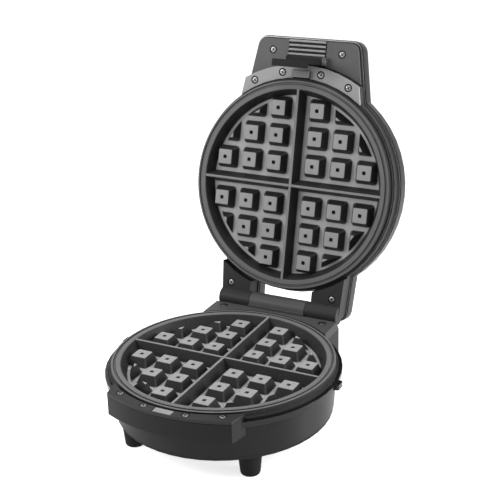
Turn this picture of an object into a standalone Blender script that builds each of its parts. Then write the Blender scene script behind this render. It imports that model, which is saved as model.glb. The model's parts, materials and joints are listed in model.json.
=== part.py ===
# Round waffle maker with a hinged lid, modelled piece by piece, in metres.
#
# While the pieces are made, the drum's axis is X = Y = 0 on the floor, the grip lies at -Y and the
# hinge at +Y. Lid pieces are modelled with the lid shut, then the hinge empty swings the lid open.
# Last of all the whole set moves so that the middle of its footprint is the origin.

import math

import bmesh
import bpy
from mathutils import Matrix, Vector

# Fits shared by all pieces
CLEARANCE = 0.0003
RUNNING_CLEARANCE = 0.0005
OVERRUN = 0.003
JOIN_OVERLAP = 0.001

# How finely round pieces are faceted
DISC_SEGMENTS = 48
SHEET_SEGMENTS = 32
SMALL_SEGMENTS = 16
SCREW_SEGMENTS = 8
ARC_STEPS = 10
CORNER_STEPS = 4
FILLET_STEPS = 3
SMOOTH_ANGLE = math.radians(32)

# Driving dimensions of the whole machine
BASE_UNDERSIDE = 0.02
BASE_HEIGHT = 0.0453
MATING_GAP = 0.0005
HINGE_GAP = 0.00095
HINGE_RISE = 0.00136
OPEN_ANGLE = math.radians(103.5)

# Cooking plate, measured down from its mating face
CAVITY_RADIUS = 0.0885
CAVITY_DEPTH = 0.01105
CAVITY_DRAFT = 0.0051
PLATE_FLOOR = 0.0025
LAND_WIDTH = 0.0043
GROOVE_WIDTH = 0.0019
GROOVE_DEPTH = 0.0012
LIP_WIDTH = 0.0019
FLANGE_WIDTH = 0.002
FLANGE_DROP = 0.005
FLANGE_THICKNESS = 0.0023
BELLY_INSET = 0.0066
BELLY_DRAFT = 0.006

# Pegs and ribs that stand in the cavity
PEG_PITCH_SHARE = 0.28814
PEG_FIRST_SHARE = 0.21966
PEG_TOP_SHARE = 0.15367
PEG_BASE_SHARE = 0.23729
PEG_HEIGHT = 0.0088
PEGS_PER_ROW = (3, 2, 1)
CUT_PEG_PLACES = ((3, 2), (2, 3))
CUT_PEG_MARGIN = 0.0075
CUT_PEG_DRAFT = 0.004
RIB_TOP = 0.0022
RIB_DROP = 0.0002
RIB_BASE = 0.01

# Heating element, reflector and thermostat behind each plate
HEATER_INSET = 0.0335
HEATER_TUBE = 0.0032
HEATER_OPENING = math.radians(36)
HEATER_POINTS = 28
REFLECTOR_SHEET = 0.0008
REFLECTOR_RIM_INSET = 0.0022
REFLECTOR_RIM_WIDTH = 0.0037
REFLECTOR_DRAFT = 0.0022
REFLECTOR_FLARE = 0.0085
REFLECTOR_DISH = 0.002
REFLECTOR_PAD_WIDTH = 0.006
THERMOSTAT_RADIUS = 0.009
THERMOSTAT_CAP_RADIUS = 0.0065
THERMOSTAT_CAP_SHARE = 0.35

# Drum of the base
BOTTOM_COVER_THICKNESS = 0.0027
BOTTOM_COVER_INSET = 0.0006
DRUM_INSET = 0.0017
DRUM_TAPER = 0.0022
DRUM_WALL = 0.0022
LEDGE_WIDTH = 0.0022
LEDGE_THICKNESS = 0.0022
RING_WIDTH = 0.0031
RING_LAND = 0.003
RING_HEIGHT = 0.0047
RING_WEB = 0.002
RING_DROP = 0.0071
LUG_LENGTH = 0.01
LUG_WIDTH = 0.0032
LUG_FORWARD = 0.008
LUG_CORNER = 0.0016

# Front grip of the base and the retainer on top of it
GRIP_TOP_DROP = 0.0005
GRIP_HEIGHT = 0.0198
GRIP_PROUD = 0.0054
GRIP_FRONT_HALF = 0.057
GRIP_BOW = 0.0121
GRIP_BACK_HALF = 0.0605
GRIP_BACK_OUTSET = 0.0004
RETAINER_THICKNESS = 0.0027
GRIP_SCREW_OUTSET = 0.0033
SCREW_OUTER_HALF = 0.0468
SCREW_INNER_HALF = 0.0192

# Plate releases, pressed in against a coil spring
RELEASE_HALF = 0.0082
RELEASE_LENGTH = 0.0064
RELEASE_TRAVEL = 0.0025
RELEASE_GAP = 0.0006
LOWER_RELEASE_HEIGHT = 0.0035
UPPER_RELEASE_HEIGHT = 0.0116
UPPER_RELEASE_DROP = 0.0004
PLUNGER_RADIUS = 0.0013
PLUNGER_LENGTH = 0.0048
SPRING_WIRE = 0.0002
SPRING_RADIUS = 0.0009
SPRING_LENGTH = 0.0034
SPRING_TURNS = 4
SPRING_POINTS_PER_TURN = 8

# Rear block and hinge platform of the base
REAR_HALF = 0.0642
REAR_PROUD = 0.002
REAR_WALL = 0.0024
TAIL_HALF = 0.0282
TAIL_OVERHANG = 0.00425
PLATFORM_TOP_DROP = 0.0008
PLATFORM_BEVEL = 0.0024
PLATFORM_SCREW_MARGIN = 0.0137
PLATFORM_SCREW_INSET = 0.0072
KNUCKLE_RADIUS = 0.0086
KNUCKLE_END = 0.0602
KNUCKLE_CAP = 0.0022
PIN_RADIUS = 0.0024
WIRE_WAY_RADIUS = 0.005

# Feet
FOOT_TOP_RADIUS = 0.0102
FOOT_PAD_RADIUS = 0.0075
FOOT_EDGE = 0.0009
FOOT_BORE_RADIUS = 0.0034
FOOT_FLOOR = 0.006
FRONT_FOOT_HALF = 0.055
FRONT_FOOT_INSET = 0.0117
REAR_FOOT_MARGIN = 0.0147
REAR_FOOT_INSET = 0.0127

# Electrical pieces in the base
TERMINAL_LENGTH = 0.034
TERMINAL_DEPTH = 0.014
TERMINAL_HEIGHT = 0.011
TERMINAL_INSET = 0.0274
TERMINAL_SLOT = 0.005
TERMINAL_SLOT_DEPTH = 0.004
TERMINAL_SLOTS = 3
FUSE_RADIUS = 0.0026
FUSE_LENGTH = 0.018
FUSE_FORWARD = 0.026
GLAND_RADIUS = 0.007
GLAND_NECK_RADIUS = 0.005
GLAND_BORE = 0.0033
GLAND_REACH = 0.006
GLAND_RISE = 0.018

# Lid shell, with rises measured up from the mating plane while the lid is shut
LID_HEIGHT = 0.0385
LID_BORDER = 0.0026
LID_FILLET = 0.0085
LID_WALL = 0.0022
COVER_RISE = 0.0185
TRIM_THICKNESS = 0.0008
TRIM_WIDTH = 0.005
TRIM_INSET = 0.0006
FRAME_INSET = 0.0016
FRAME_RING_WALL = 0.0022
FRAME_LIP_LAP = 0.002
FRAME_LIP = 0.0019
HANDLE_ROOT_DEPTH = 0.042
HANDLE_ROOT_HALF = 0.0643
HANDLE_PROUD = 0.034
HANDLE_END_HALF = 0.051
HANDLE_CORNER = 0.01
ARM_ROOT_DEPTH = 0.042
ARM_ROOT_HALF = 0.0652
ARM_OVERHANG = 0.00935
ARM_END_HALF = 0.0614
ARM_INNER_HALF = 0.03
ARM_CORNER = 0.009
ARM_FACE_RISE = 0.0003
ARM_DISC_GAP = 0.0024
ARM_SCREW_HALF = 0.052
ARM_SCREW_INSET = 0.0025

# Crescent that holds the upper plate, and the handle's inner face
CRESCENT_RISE = 0.005
CRESCENT_PROUD = 0.009
CRESCENT_HALF = 0.0594
CRESCENT_CORNER_HALF = 0.0566
CRESCENT_SCREW_INSET = 0.0062
PANEL_RISE = 0.0137
PANEL_THICKNESS = 0.0023
PANEL_INSET = 0.0026
PANEL_GAP = 0.001
PANEL_SCREW_HALF = 0.0345
PANEL_SCREW_INSET = 0.013
INSERT_HALF = 0.0183
INSERT_LENGTH = 0.0166
INSERT_BASE = 0.0013
INSERT_RIB = 0.002
INSERT_RIB_HEIGHT = 0.0026
INSERT_RIBS = 4

# Latch that swings from the handle and hooks under the front grip
LATCH_PIVOT_OUTSET = 0.0079
LATCH_PIVOT_RISE = 0.01
LATCH_HALF = 0.0174
LATCH_BARREL = 0.003
LATCH_PIN_RADIUS = 0.0015
LATCH_ARM_OUTSET = 0.0043
LATCH_ARM_THICKNESS = 0.0027
LATCH_DROP = 0.0215
LATCH_BAR_THICKNESS = 0.0027
LATCH_BAR_DEPTH = 0.0065
CHEEK_THICKNESS = 0.003
CHEEK_HALF_DEPTH = 0.0036
CHEEK_RISE = 0.0069

# Indicator lenses on the lid's top
LENS_RADIUS = 0.0026
LENS_FLANGE_RADIUS = 0.0044
LENS_FLANGE = 0.001
LENS_PROUD = 0.0006
LENS_HALF = 0.009
LENS_INSET = 0.024

# Screws
SCREW_HEAD_RADIUS = 0.0028
SCREW_HEAD = 0.0012
SCREW_SHANK_RADIUS = 0.0013
SCREW_LENGTH = 0.0055
BOSS_RADIUS = 0.0042
BOSS_HEIGHT = 0.006

# Plate sizes that follow from the ones above
MATING_HEIGHT = BASE_UNDERSIDE + BASE_HEIGHT
LOWER_FACE = MATING_HEIGHT - MATING_GAP / 2
UPPER_FACE = MATING_HEIGHT + MATING_GAP / 2
GROOVE_RADIUS = CAVITY_RADIUS + LAND_WIDTH
GROOVE_END = GROOVE_RADIUS + GROOVE_WIDTH
LIP_RADIUS = GROOVE_END + LIP_WIDTH
FLANGE_RADIUS = LIP_RADIUS + FLANGE_WIDTH
FLANGE_BACK = FLANGE_DROP + FLANGE_THICKNESS
PLATE_DEPTH = CAVITY_DEPTH + PLATE_FLOOR
PLATE_WELL_RADIUS = FLANGE_RADIUS + RUNNING_CLEARANCE
LIP_BACK = FLANGE_BACK + CLEARANCE + FRAME_LIP
REFLECTOR_RIM_DROP = LIP_BACK + CLEARANCE
HEATER_DROP = PLATE_DEPTH + CLEARANCE + HEATER_TUBE
REFLECTOR_PAD_DROP = HEATER_DROP + HEATER_TUBE + CLEARANCE
REFLECTOR_DROP = REFLECTOR_PAD_DROP + REFLECTOR_DISH
PEG_PITCH = CAVITY_RADIUS * PEG_PITCH_SHARE
PEG_FIRST = CAVITY_RADIUS * PEG_FIRST_SHARE
PEG_TOP = CAVITY_RADIUS * PEG_TOP_SHARE
PEG_BASE = CAVITY_RADIUS * PEG_BASE_SHARE
CUT_PEG_BASE_RADIUS = CAVITY_RADIUS - CUT_PEG_MARGIN
CUT_PEG_TOP_RADIUS = CUT_PEG_BASE_RADIUS - CUT_PEG_DRAFT
HEATER_RADIUS = CAVITY_RADIUS - HEATER_INSET
REFLECTOR_RIM_RADIUS = LIP_RADIUS - REFLECTOR_RIM_INSET
REFLECTOR_WALL_RADIUS = REFLECTOR_RIM_RADIUS - REFLECTOR_RIM_WIDTH
REFLECTOR_SHOULDER_RADIUS = REFLECTOR_WALL_RADIUS - REFLECTOR_DRAFT
REFLECTOR_FLOOR_RADIUS = REFLECTOR_SHOULDER_RADIUS - REFLECTOR_FLARE

# Plan of the base and the lid, each reach from the one inside it
DRUM_TOP_RADIUS = PLATE_WELL_RADIUS - DRUM_INSET
BOTTOM_COVER_RADIUS = DRUM_TOP_RADIUS - DRUM_TAPER - BOTTOM_COVER_INSET
RING_RADIUS = PLATE_WELL_RADIUS + RING_WIDTH
GRIP_REACH = RING_RADIUS + GRIP_PROUD
GRIP_FRONT_CORNER = GRIP_REACH - GRIP_BOW
GRIP_BACK_CORNER = math.sqrt((PLATE_WELL_RADIUS + GRIP_BACK_OUTSET) ** 2 - GRIP_BACK_HALF ** 2)
GRIP_SCREW_RADIUS = PLATE_WELL_RADIUS + GRIP_SCREW_OUTSET
REAR_REACH = RING_RADIUS + REAR_PROUD
HINGE_REACH = REAR_REACH + KNUCKLE_RADIUS + HINGE_GAP
TAIL_REACH = HINGE_REACH + TAIL_OVERHANG
PLATFORM_SCREW_BACK = REAR_REACH - PLATFORM_SCREW_INSET
PLATFORM_SCREW_HALF = REAR_HALF - PLATFORM_SCREW_MARGIN
FRONT_FOOT_FORWARD = math.sqrt((BOTTOM_COVER_RADIUS - FRONT_FOOT_INSET) ** 2 - FRONT_FOOT_HALF ** 2)
REAR_FOOT_BACK = REAR_REACH - REAR_FOOT_INSET
REAR_FOOT_HALF = REAR_HALF - REAR_FOOT_MARGIN
TERMINAL_BACK = DRUM_TOP_RADIUS - TERMINAL_INSET
FRAME_RING_RADIUS = PLATE_WELL_RADIUS + CLEARANCE
LID_RADIUS = FRAME_RING_RADIUS + LID_BORDER
FRAME_LIP_RADIUS = REFLECTOR_RIM_RADIUS - FRAME_LIP_LAP
HANDLE_ROOT = LID_RADIUS - HANDLE_ROOT_DEPTH
HANDLE_REACH = LID_RADIUS + HANDLE_PROUD
ARM_ROOT = LID_RADIUS - ARM_ROOT_DEPTH
ARM_REACH = HINGE_REACH + ARM_OVERHANG
ARM_SCREW_BACK = LID_RADIUS - ARM_SCREW_INSET
CRESCENT_REACH = LID_RADIUS + CRESCENT_PROUD
CRESCENT_SCREW_RADIUS = CRESCENT_REACH - CRESCENT_SCREW_INSET
PANEL_SCREW_REACH = HANDLE_REACH - PANEL_SCREW_INSET
INSERT_START = HANDLE_REACH - INSERT_LENGTH
LATCH_PIVOT_REACH = GRIP_REACH + LATCH_PIVOT_OUTSET
LATCH_ARM_INNER = GRIP_REACH + LATCH_ARM_OUTSET
LENS_FORWARD = LID_RADIUS - LENS_INSET

# Base heights that follow
BASE_FLOOR = BASE_UNDERSIDE + BOTTOM_COVER_THICKNESS
GLAND_HEIGHT = BASE_UNDERSIDE + GLAND_RISE
DRUM_BOTTOM = BASE_FLOOR + CLEARANCE
DRUM_TOP = LOWER_FACE - FLANGE_BACK - CLEARANCE
RING_TOP = MATING_HEIGHT - RING_DROP
RING_BOTTOM = RING_TOP - RING_HEIGHT
DRUM_FIT_RADIUS = DRUM_TOP_RADIUS + CLEARANCE
RING_FIT_RADIUS = RING_RADIUS + RUNNING_CLEARANCE
GRIP_TOP = MATING_HEIGHT - GRIP_TOP_DROP
GRIP_BOTTOM = GRIP_TOP - GRIP_HEIGHT
GRIP_SEAT = GRIP_TOP - RETAINER_THICKNESS - CLEARANCE
GRIP_SAGITTA = GRIP_REACH - GRIP_FRONT_CORNER
GRIP_ARC_RADIUS = (GRIP_FRONT_HALF ** 2 + GRIP_SAGITTA ** 2) / (2 * GRIP_SAGITTA)
GRIP_ARC_CENTRE = GRIP_ARC_RADIUS - GRIP_REACH
PLATFORM_TOP = MATING_HEIGHT - PLATFORM_TOP_DROP
PLATFORM_BOTTOM = RING_TOP + CLEARANCE
REAR_TOP = PLATFORM_BOTTOM - CLEARANCE
REAR_STEP = RING_BOTTOM - CLEARANCE
AXIS_HEIGHT = MATING_HEIGHT + HINGE_RISE
TAIL_TOP = AXIS_HEIGHT - KNUCKLE_RADIUS - CLEARANCE
RELEASE_START = PLATE_WELL_RADIUS + CLEARANCE
RELEASE_END = RELEASE_START + RELEASE_LENGTH
PLUNGER_REACH = RELEASE_END - PLUNGER_RADIUS
PLUNGER_PLACE = [(0, -PLUNGER_REACH)]

# Lid heights that follow
COVER_BOTTOM = MATING_HEIGHT + COVER_RISE
LID_TOP = MATING_HEIGHT + LID_HEIGHT
COVER_CEILING = LID_TOP - LID_WALL
TRIM_TOP = COVER_BOTTOM - CLEARANCE
TRIM_BOTTOM = TRIM_TOP - TRIM_THICKNESS
FRAME_TOP = TRIM_BOTTOM - CLEARANCE
FRAME_FACE = UPPER_FACE + FLANGE_BACK + CLEARANCE
ARM_FACE = MATING_HEIGHT + ARM_FACE_RISE
CRESCENT_FACE = MATING_HEIGHT + CRESCENT_RISE
CRESCENT_BACK = CRESCENT_FACE + RETAINER_THICKNESS
PANEL_FACE = MATING_HEIGHT + PANEL_RISE
PANEL_BACK = PANEL_FACE + PANEL_THICKNESS
PANEL_SEAT = PANEL_BACK + CLEARANCE
PIVOT_HEIGHT = MATING_HEIGHT + LATCH_PIVOT_RISE
UPPER_RELEASE_FACE = MATING_HEIGHT + UPPER_RELEASE_DROP
UPPER_RELEASE_BACK = UPPER_RELEASE_FACE + UPPER_RELEASE_HEIGHT


# Meshes

def finish(bm, name):
    bmesh.ops.recalc_face_normals(bm, faces=bm.faces)
    mesh = bpy.data.meshes.new(name)
    bm.to_mesh(mesh)
    bm.free()
    mesh.shade_smooth()
    mesh.set_sharp_from_angle(angle=SMOOTH_ANGLE)
    return mesh


def add_stack(bm, rings):
    """Skins a solid over rings of points that have the same count, lowest ring first."""
    loops = [[bm.verts.new(point) for point in ring] for ring in rings]
    count = len(loops[0])
    bm.faces.new(list(reversed(loops[0])))
    bm.faces.new(loops[-1])
    for low, high in zip(loops, loops[1:]):
        for i in range(count):
            j = (i + 1) % count
            bm.faces.new((low[i], low[j], high[j], high[i]))


def at_height(outline, height):
    return [(x, y, height) for x, y in outline]


def stack(name, rings):
    bm = bmesh.new()
    add_stack(bm, rings)
    return finish(bm, name)


def prism(name, outline, low, high):
    return stack(name, [at_height(outline, low), at_height(outline, high)])


def boxes(name, corners):
    bm = bmesh.new()
    for low, high in corners:
        outline = [(low[0], low[1]), (high[0], low[1]), (high[0], high[1]), (low[0], high[1])]
        add_stack(bm, [at_height(outline, low[2]), at_height(outline, high[2])])
    return finish(bm, name)


def box(name, low, high):
    return boxes(name, [(low, high)])


def add_turned(bm, profile, segments, place=Matrix()):
    """Turns a closed profile of (radius, height) points about Z."""
    turns = [2 * math.pi * i / segments for i in range(segments)]
    rings = []
    for radius, height in profile:
        steps = turns if radius else turns[:1]
        spots = [Vector((radius * math.cos(a), radius * math.sin(a), height)) for a in steps]
        rings.append([bm.verts.new(place @ spot) for spot in spots])
    for first, second in zip(rings, rings[1:] + rings[:1]):
        if len(first) == len(second) == 1:
            continue
        for i in range(segments):
            j = (i + 1) % segments
            corners = [first[i % len(first)], second[i % len(second)]]
            corners += [second[j % len(second)], first[j % len(first)]]
            bm.faces.new(list(dict.fromkeys(corners)))


def turned(name, profile, segments=DISC_SEGMENTS, place=Matrix()):
    bm = bmesh.new()
    add_turned(bm, profile, segments, place)
    return finish(bm, name)


def disc(name, radius, low, high, segments=DISC_SEGMENTS):
    return turned(name, [(0, low), (radius, low), (radius, high), (0, high)], segments)


def repeated(name, profile, places, segments=SCREW_SEGMENTS):
    bm = bmesh.new()
    for place in places:
        add_turned(bm, profile, segments, Matrix.Translation(place))
    return finish(bm, name)


def posts(name, radius, low, high, places, segments=SCREW_SEGMENTS):
    profile = [(0, low), (radius, low), (radius, high), (0, high)]
    return repeated(name, profile, [(x, y, 0) for x, y in places], segments)


def rods_along_x(name, radius, spans, back, height, segments=SMALL_SEGMENTS):
    """Round bars along X whose axis passes through (back, height) in Y and Z."""
    place = Matrix.Translation((0, back, height)) @ Matrix.Rotation(math.pi / 2, 4, "Y")
    bm = bmesh.new()
    for start, end in spans:
        add_turned(bm, [(0, start), (radius, start), (radius, end), (0, end)], segments, place)
    return finish(bm, name)


def rod_along_x(name, radius, half, back, height, segments=SMALL_SEGMENTS):
    return rods_along_x(name, radius, [(-half, half)], back, height, segments)


def tube_curve(name, points, radius, rings):
    curve = bpy.data.curves.new(name, "CURVE")
    curve.dimensions = "3D"
    curve.bevel_depth = radius
    curve.bevel_resolution = rings
    curve.use_fill_caps = True
    spline = curve.splines.new("POLY")
    spline.points.add(len(points) - 1)
    for spot, point in zip(spline.points, points):
        spot.co = (*point, 1)
    return curve


# Outlines

def arc(centre_x, centre_y, radius, start, end, steps):
    turns = [start + (end - start) * i / steps for i in range(steps + 1)]
    return [(centre_x + radius * math.cos(a), centre_y + radius * math.sin(a)) for a in turns]


def rounded(outline, radii):
    """Rounds the corners of an outline; radii has one value for each corner."""
    points = []
    for i, radius in enumerate(radii):
        corner = Vector(outline[i])
        if radius == 0:
            points.append(tuple(corner))
            continue
        before = (Vector(outline[i - 1]) - corner).normalized()
        after = (Vector(outline[(i + 1) % len(outline)]) - corner).normalized()
        half = before.angle(after) / 2
        middle = corner + (before + after).normalized() * radius / math.sin(half)
        first = corner + before * radius / math.tan(half) - middle
        last = corner + after * radius / math.tan(half) - middle
        start = math.atan2(first.y, first.x)
        turn = (math.atan2(last.y, last.x) - start + math.pi) % (2 * math.pi) - math.pi
        points += arc(middle.x, middle.y, radius, start, start + turn, CORNER_STEPS)
    return points


def inset(outline, distance):
    """Moves every side of a convex, anticlockwise outline inwards by the distance."""
    points = []
    for i, spot in enumerate(outline):
        here = Vector(spot)
        before = (here - Vector(outline[i - 1])).normalized()
        after = (Vector(outline[(i + 1) % len(outline)]) - here).normalized()
        inward = Vector((-before.y - after.y, before.x + after.x)).normalized()
        points.append(tuple(here + inward * distance / Vector((-before.y, before.x)).dot(inward)))
    return points


def mirrored(outline):
    return [(-x, y) for x, y in reversed(outline)]


def domed_prism(name, outline, low, high, fillet):
    """A convex outline raised from low to high, with a round edge at the top."""
    rings = [at_height(outline, low)]
    for i in range(FILLET_STEPS + 1):
        turn = math.pi / 2 * i / FILLET_STEPS
        ring = inset(outline, fillet * (1 - math.cos(turn)))
        rings.append(at_height(ring, high - fillet * (1 - math.sin(turn))))
    return stack(name, rings)


def on_circle(radius, across):
    return math.sqrt(radius ** 2 - across ** 2)


def side_meets_circle(back, front, radius):
    """Where the straight side from back to front crosses a circle about the drum's axis."""
    start = Vector(back)
    side = Vector(front) - start
    along = start.dot(side) / side.dot(side)
    rest = (start.dot(start) - radius ** 2) / side.dot(side)
    return start + side * (math.sqrt(along ** 2 - rest) - along)


def grip_outline(inner_radius):
    """Plan of the front grip, from the drum's side out to its bowed front."""
    back = (GRIP_BACK_HALF, -GRIP_BACK_CORNER)
    front = (GRIP_FRONT_HALF, -GRIP_FRONT_CORNER)
    inner = side_meets_circle(back, front, max(inner_radius, math.hypot(*back)))
    down = -math.pi / 2
    bow = math.asin(GRIP_FRONT_HALF / GRIP_ARC_RADIUS)
    outer = arc(0, GRIP_ARC_CENTRE, GRIP_ARC_RADIUS, down - bow, down + bow, ARC_STEPS)
    spread = math.atan2(inner.x, -inner.y)
    return outer + arc(0, 0, inner.length, down + spread, down - spread, ARC_STEPS)


def rear_outline(inner_radius, half, reach):
    """Plan of the rear block, round against the drum and straight at the back."""
    up = math.pi / 2
    spread = math.asin(half / inner_radius)
    inner = arc(0, 0, inner_radius, up + spread, up - spread, ARC_STEPS)
    return inner + [(half, reach), (-half, reach)]


def crescent_outline(inner_radius):
    """Plan of the crescent between the upper plate and the handle's inner face."""
    down = -math.pi / 2
    corner = math.asin(CRESCENT_CORNER_HALF / CRESCENT_REACH)
    outer = arc(0, 0, CRESCENT_REACH, down - corner, down + corner, ARC_STEPS)
    spread = math.asin(CRESCENT_HALF / inner_radius)
    return outer + arc(0, 0, inner_radius, down + spread, down - spread, ARC_STEPS)


def handle_outline(distance=0):
    """Plan of the lid's handle, a tapering tongue with round corners, drawn in by the distance."""
    corners = [
        (-HANDLE_ROOT_HALF, -HANDLE_ROOT),
        (-HANDLE_END_HALF, -HANDLE_REACH),
        (HANDLE_END_HALF, -HANDLE_REACH),
        (HANDLE_ROOT_HALF, -HANDLE_ROOT),
    ]
    return inset(rounded(corners, [0, HANDLE_CORNER, HANDLE_CORNER, 0]), distance)


def arm_outlines(distance=0):
    """Plans of the two hinge arms of the lid, drawn in by the distance."""
    corners = [
        (ARM_INNER_HALF, ARM_ROOT),
        (ARM_ROOT_HALF, ARM_ROOT),
        (ARM_END_HALF, ARM_REACH),
        (ARM_INNER_HALF, ARM_REACH),
    ]
    right = inset(rounded(corners, [0, 0, ARM_CORNER, ARM_CORNER]), distance)
    return right, mirrored(right)


def pair(half, back):
    return [(-half, back), (half, back)]


def crescent_screw_places(radius):
    outer = pair(SCREW_OUTER_HALF, -on_circle(radius, SCREW_OUTER_HALF))
    inner = pair(SCREW_INNER_HALF, -on_circle(radius, SCREW_INNER_HALF))
    return outer + inner


def foot_places():
    front = pair(FRONT_FOOT_HALF, -FRONT_FOOT_FORWARD)
    rear = pair(REAR_FOOT_HALF, REAR_FOOT_BACK)
    return front + rear


# Looks: base colour, roughness and metallic value

GLOSS_BLACK = ((0.025, 0.025, 0.027), 0.25, 0.0)
SATIN_BLACK = ((0.035, 0.035, 0.037), 0.45, 0.0)
SATIN_DARK = ((0.08, 0.08, 0.085), 0.5, 0.0)
SATIN_GREY = ((0.24, 0.24, 0.25), 0.45, 0.0)
COATED_METAL = ((0.2, 0.2, 0.21), 0.42, 0.6)
BRIGHT_METAL = ((0.6, 0.6, 0.62), 0.3, 1.0)
DULL_METAL = ((0.3, 0.3, 0.31), 0.45, 0.9)
SOFT_BLACK = ((0.02, 0.02, 0.02), 0.8, 0.0)
CERAMIC = ((0.75, 0.72, 0.65), 0.7, 0.0)
RED_GLASS = ((0.6, 0.03, 0.02), 0.15, 0.0)
GREEN_GLASS = ((0.03, 0.5, 0.08), 0.15, 0.0)


def material(name, look):
    colour, roughness, metallic = look
    made = bpy.data.materials.new(name)
    made.use_nodes = True
    shader = made.node_tree.nodes["Principled BSDF"]
    shader.inputs["Base Color"].default_value = (*colour, 1)
    shader.inputs["Roughness"].default_value = roughness
    shader.inputs["Metallic"].default_value = metallic
    return made


# Objects

def empty(name, location, parent=None):
    made = bpy.data.objects.new(name, None)
    bpy.context.collection.objects.link(made)
    made.location = location
    if parent:
        made.parent = parent
        made.matrix_parent_inverse = Matrix.Translation(-parent.location)
    return made


def place_object(name, data, parent, place):
    made = bpy.data.objects.new(name, data)
    bpy.context.collection.objects.link(made)
    made.parent = parent
    made.matrix_parent_inverse = Matrix.Translation(-parent.location)
    made.matrix_basis = place
    return made


def add(name, data, parent, look, place=Matrix()):
    made = place_object(name, data, parent, place)
    made.data.materials.append(material(name, look))
    return made


def guide(name, data, parent, place=Matrix()):
    """A shape that only cuts or joins other pieces."""
    made = place_object(name, data, parent, place)
    made.hide_render = True
    made.display_type = "WIRE"
    return made


def combine(piece, other, operation):
    modifier = piece.modifiers.new(other.name, "BOOLEAN")
    modifier.operation = operation
    modifier.solver = "EXACT"
    modifier.object = other


def cut(piece, mesh):
    combine(piece, guide(piece.name + "_" + mesh.name, mesh, piece.parent, piece.matrix_basis), "DIFFERENCE")


def join(piece, mesh):
    combine(piece, guide(piece.name + "_" + mesh.name, mesh, piece.parent, piece.matrix_basis), "UNION")


# Screws. facing is 1 where the head looks up and -1 where it looks down.

def screw_shape(head, shank, start, seat, end):
    return [(0, start), (head, start), (head, seat), (shank, seat), (shank, end), (0, end)]


def add_screws(name, places, height, parent, facing=1, length=SCREW_LENGTH):
    profile = screw_shape(SCREW_HEAD_RADIUS, SCREW_SHANK_RADIUS, 0, -facing * SCREW_HEAD, -facing * length)
    for number, (x, y) in enumerate(places, 1):
        screw = turned(name, profile, SCREW_SEGMENTS, Matrix.Translation((x, y, height)))
        add(f"{name}_{number}", screw, parent, BRIGHT_METAL)


def cut_screw_holes(piece, places, height, facing=1, length=SCREW_LENGTH):
    head = SCREW_HEAD_RADIUS + CLEARANCE
    shank = SCREW_SHANK_RADIUS + CLEARANCE
    seat = -facing * (SCREW_HEAD + CLEARANCE)
    profile = screw_shape(head, shank, facing * OVERRUN, seat, -facing * (length + CLEARANCE))
    cut(piece, repeated("screw_holes", profile, [(x, y, height) for x, y in places]))


# Cooking plates and what lies behind them, modelled face up about the middle of the mating face

def plate_profile():
    return [
        (0, -PLATE_DEPTH),
        (FLANGE_RADIUS - BELLY_INSET - BELLY_DRAFT, -PLATE_DEPTH),
        (FLANGE_RADIUS - BELLY_INSET, -FLANGE_BACK),
        (FLANGE_RADIUS, -FLANGE_BACK),
        (FLANGE_RADIUS, -FLANGE_DROP),
        (LIP_RADIUS, -FLANGE_DROP),
        (LIP_RADIUS, 0),
        (GROOVE_END, 0),
        (GROOVE_END, -GROOVE_DEPTH),
        (GROOVE_RADIUS, -GROOVE_DEPTH),
        (GROOVE_RADIUS, 0),
        (CAVITY_RADIUS, 0),
        (CAVITY_RADIUS - CAVITY_DRAFT, -CAVITY_DEPTH),
        (0, -CAVITY_DEPTH),
    ]


def peg_centres(places):
    centres = []
    for column, row in places:
        x = PEG_FIRST + (column - 1) * PEG_PITCH
        y = PEG_FIRST + (row - 1) * PEG_PITCH
        centres += pair(x, y) + pair(x, -y)
    return centres


def pegs(name, centres):
    """Square pegs with sloping sides, rooted a little below the cavity's floor."""
    top = PEG_HEIGHT - CAVITY_DEPTH
    slope = (PEG_BASE - PEG_TOP) / (2 * PEG_HEIGHT)
    bm = bmesh.new()
    for x, y in centres:
        rings = []
        for height in (-CAVITY_DEPTH - JOIN_OVERLAP, top):
            half = PEG_TOP / 2 + slope * (top - height)
            corners = [(x - half, y - half), (x + half, y - half), (x + half, y + half), (x - half, y + half)]
            rings.append(at_height(corners, height))
        add_stack(bm, rings)
    return finish(bm, name)


def rib(name, turn):
    """A tent-shaped rib across the cavity, along X before it is turned."""
    slope = (RIB_BASE - RIB_TOP) / (2 * CAVITY_DEPTH)
    bottom = -CAVITY_DEPTH - JOIN_OVERLAP
    half = RIB_TOP / 2
    low_half = half - slope * bottom
    reach = CAVITY_RADIUS + JOIN_OVERLAP
    low_reach = reach - CAVITY_DRAFT
    section = [
        (low_reach, -low_half, bottom),
        (low_reach, low_half, bottom),
        (reach, half, -RIB_DROP),
        (reach, -half, -RIB_DROP),
    ]
    rotation = Matrix.Rotation(turn, 3, "Z")
    return stack(name, [[rotation @ Vector((side * x, y, z)) for x, y, z in section] for side in (-1, 1)])


def make_plate(name, parent, place):
    plate = add(name, turned(name, plate_profile()), parent, COATED_METAL, place)
    join(plate, rib("rib_across", 0))
    join(plate, rib("rib_along", math.pi / 2))
    full = [(column, row) for row, count in enumerate(PEGS_PER_ROW, 1) for column in range(1, count + 1)]
    join(plate, pegs("full_pegs", peg_centres(full)))

    top = PEG_HEIGHT - CAVITY_DEPTH
    low = -CAVITY_DEPTH - OVERRUN
    slope = (CUT_PEG_BASE_RADIUS - CUT_PEG_TOP_RADIUS) / PEG_HEIGHT
    cone = [
        (0, low),
        (CUT_PEG_TOP_RADIUS + slope * (top - low), low),
        (CUT_PEG_TOP_RADIUS - slope * OVERRUN, top + OVERRUN),
        (0, top + OVERRUN),
    ]
    cut_pegs = guide(name + "_cut_pegs", pegs("cut_pegs", peg_centres(CUT_PEG_PLACES)), parent, place)
    combine(cut_pegs, guide(name + "_cone", turned("cone", cone), parent, place), "INTERSECT")
    combine(plate, cut_pegs, "UNION")


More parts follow.
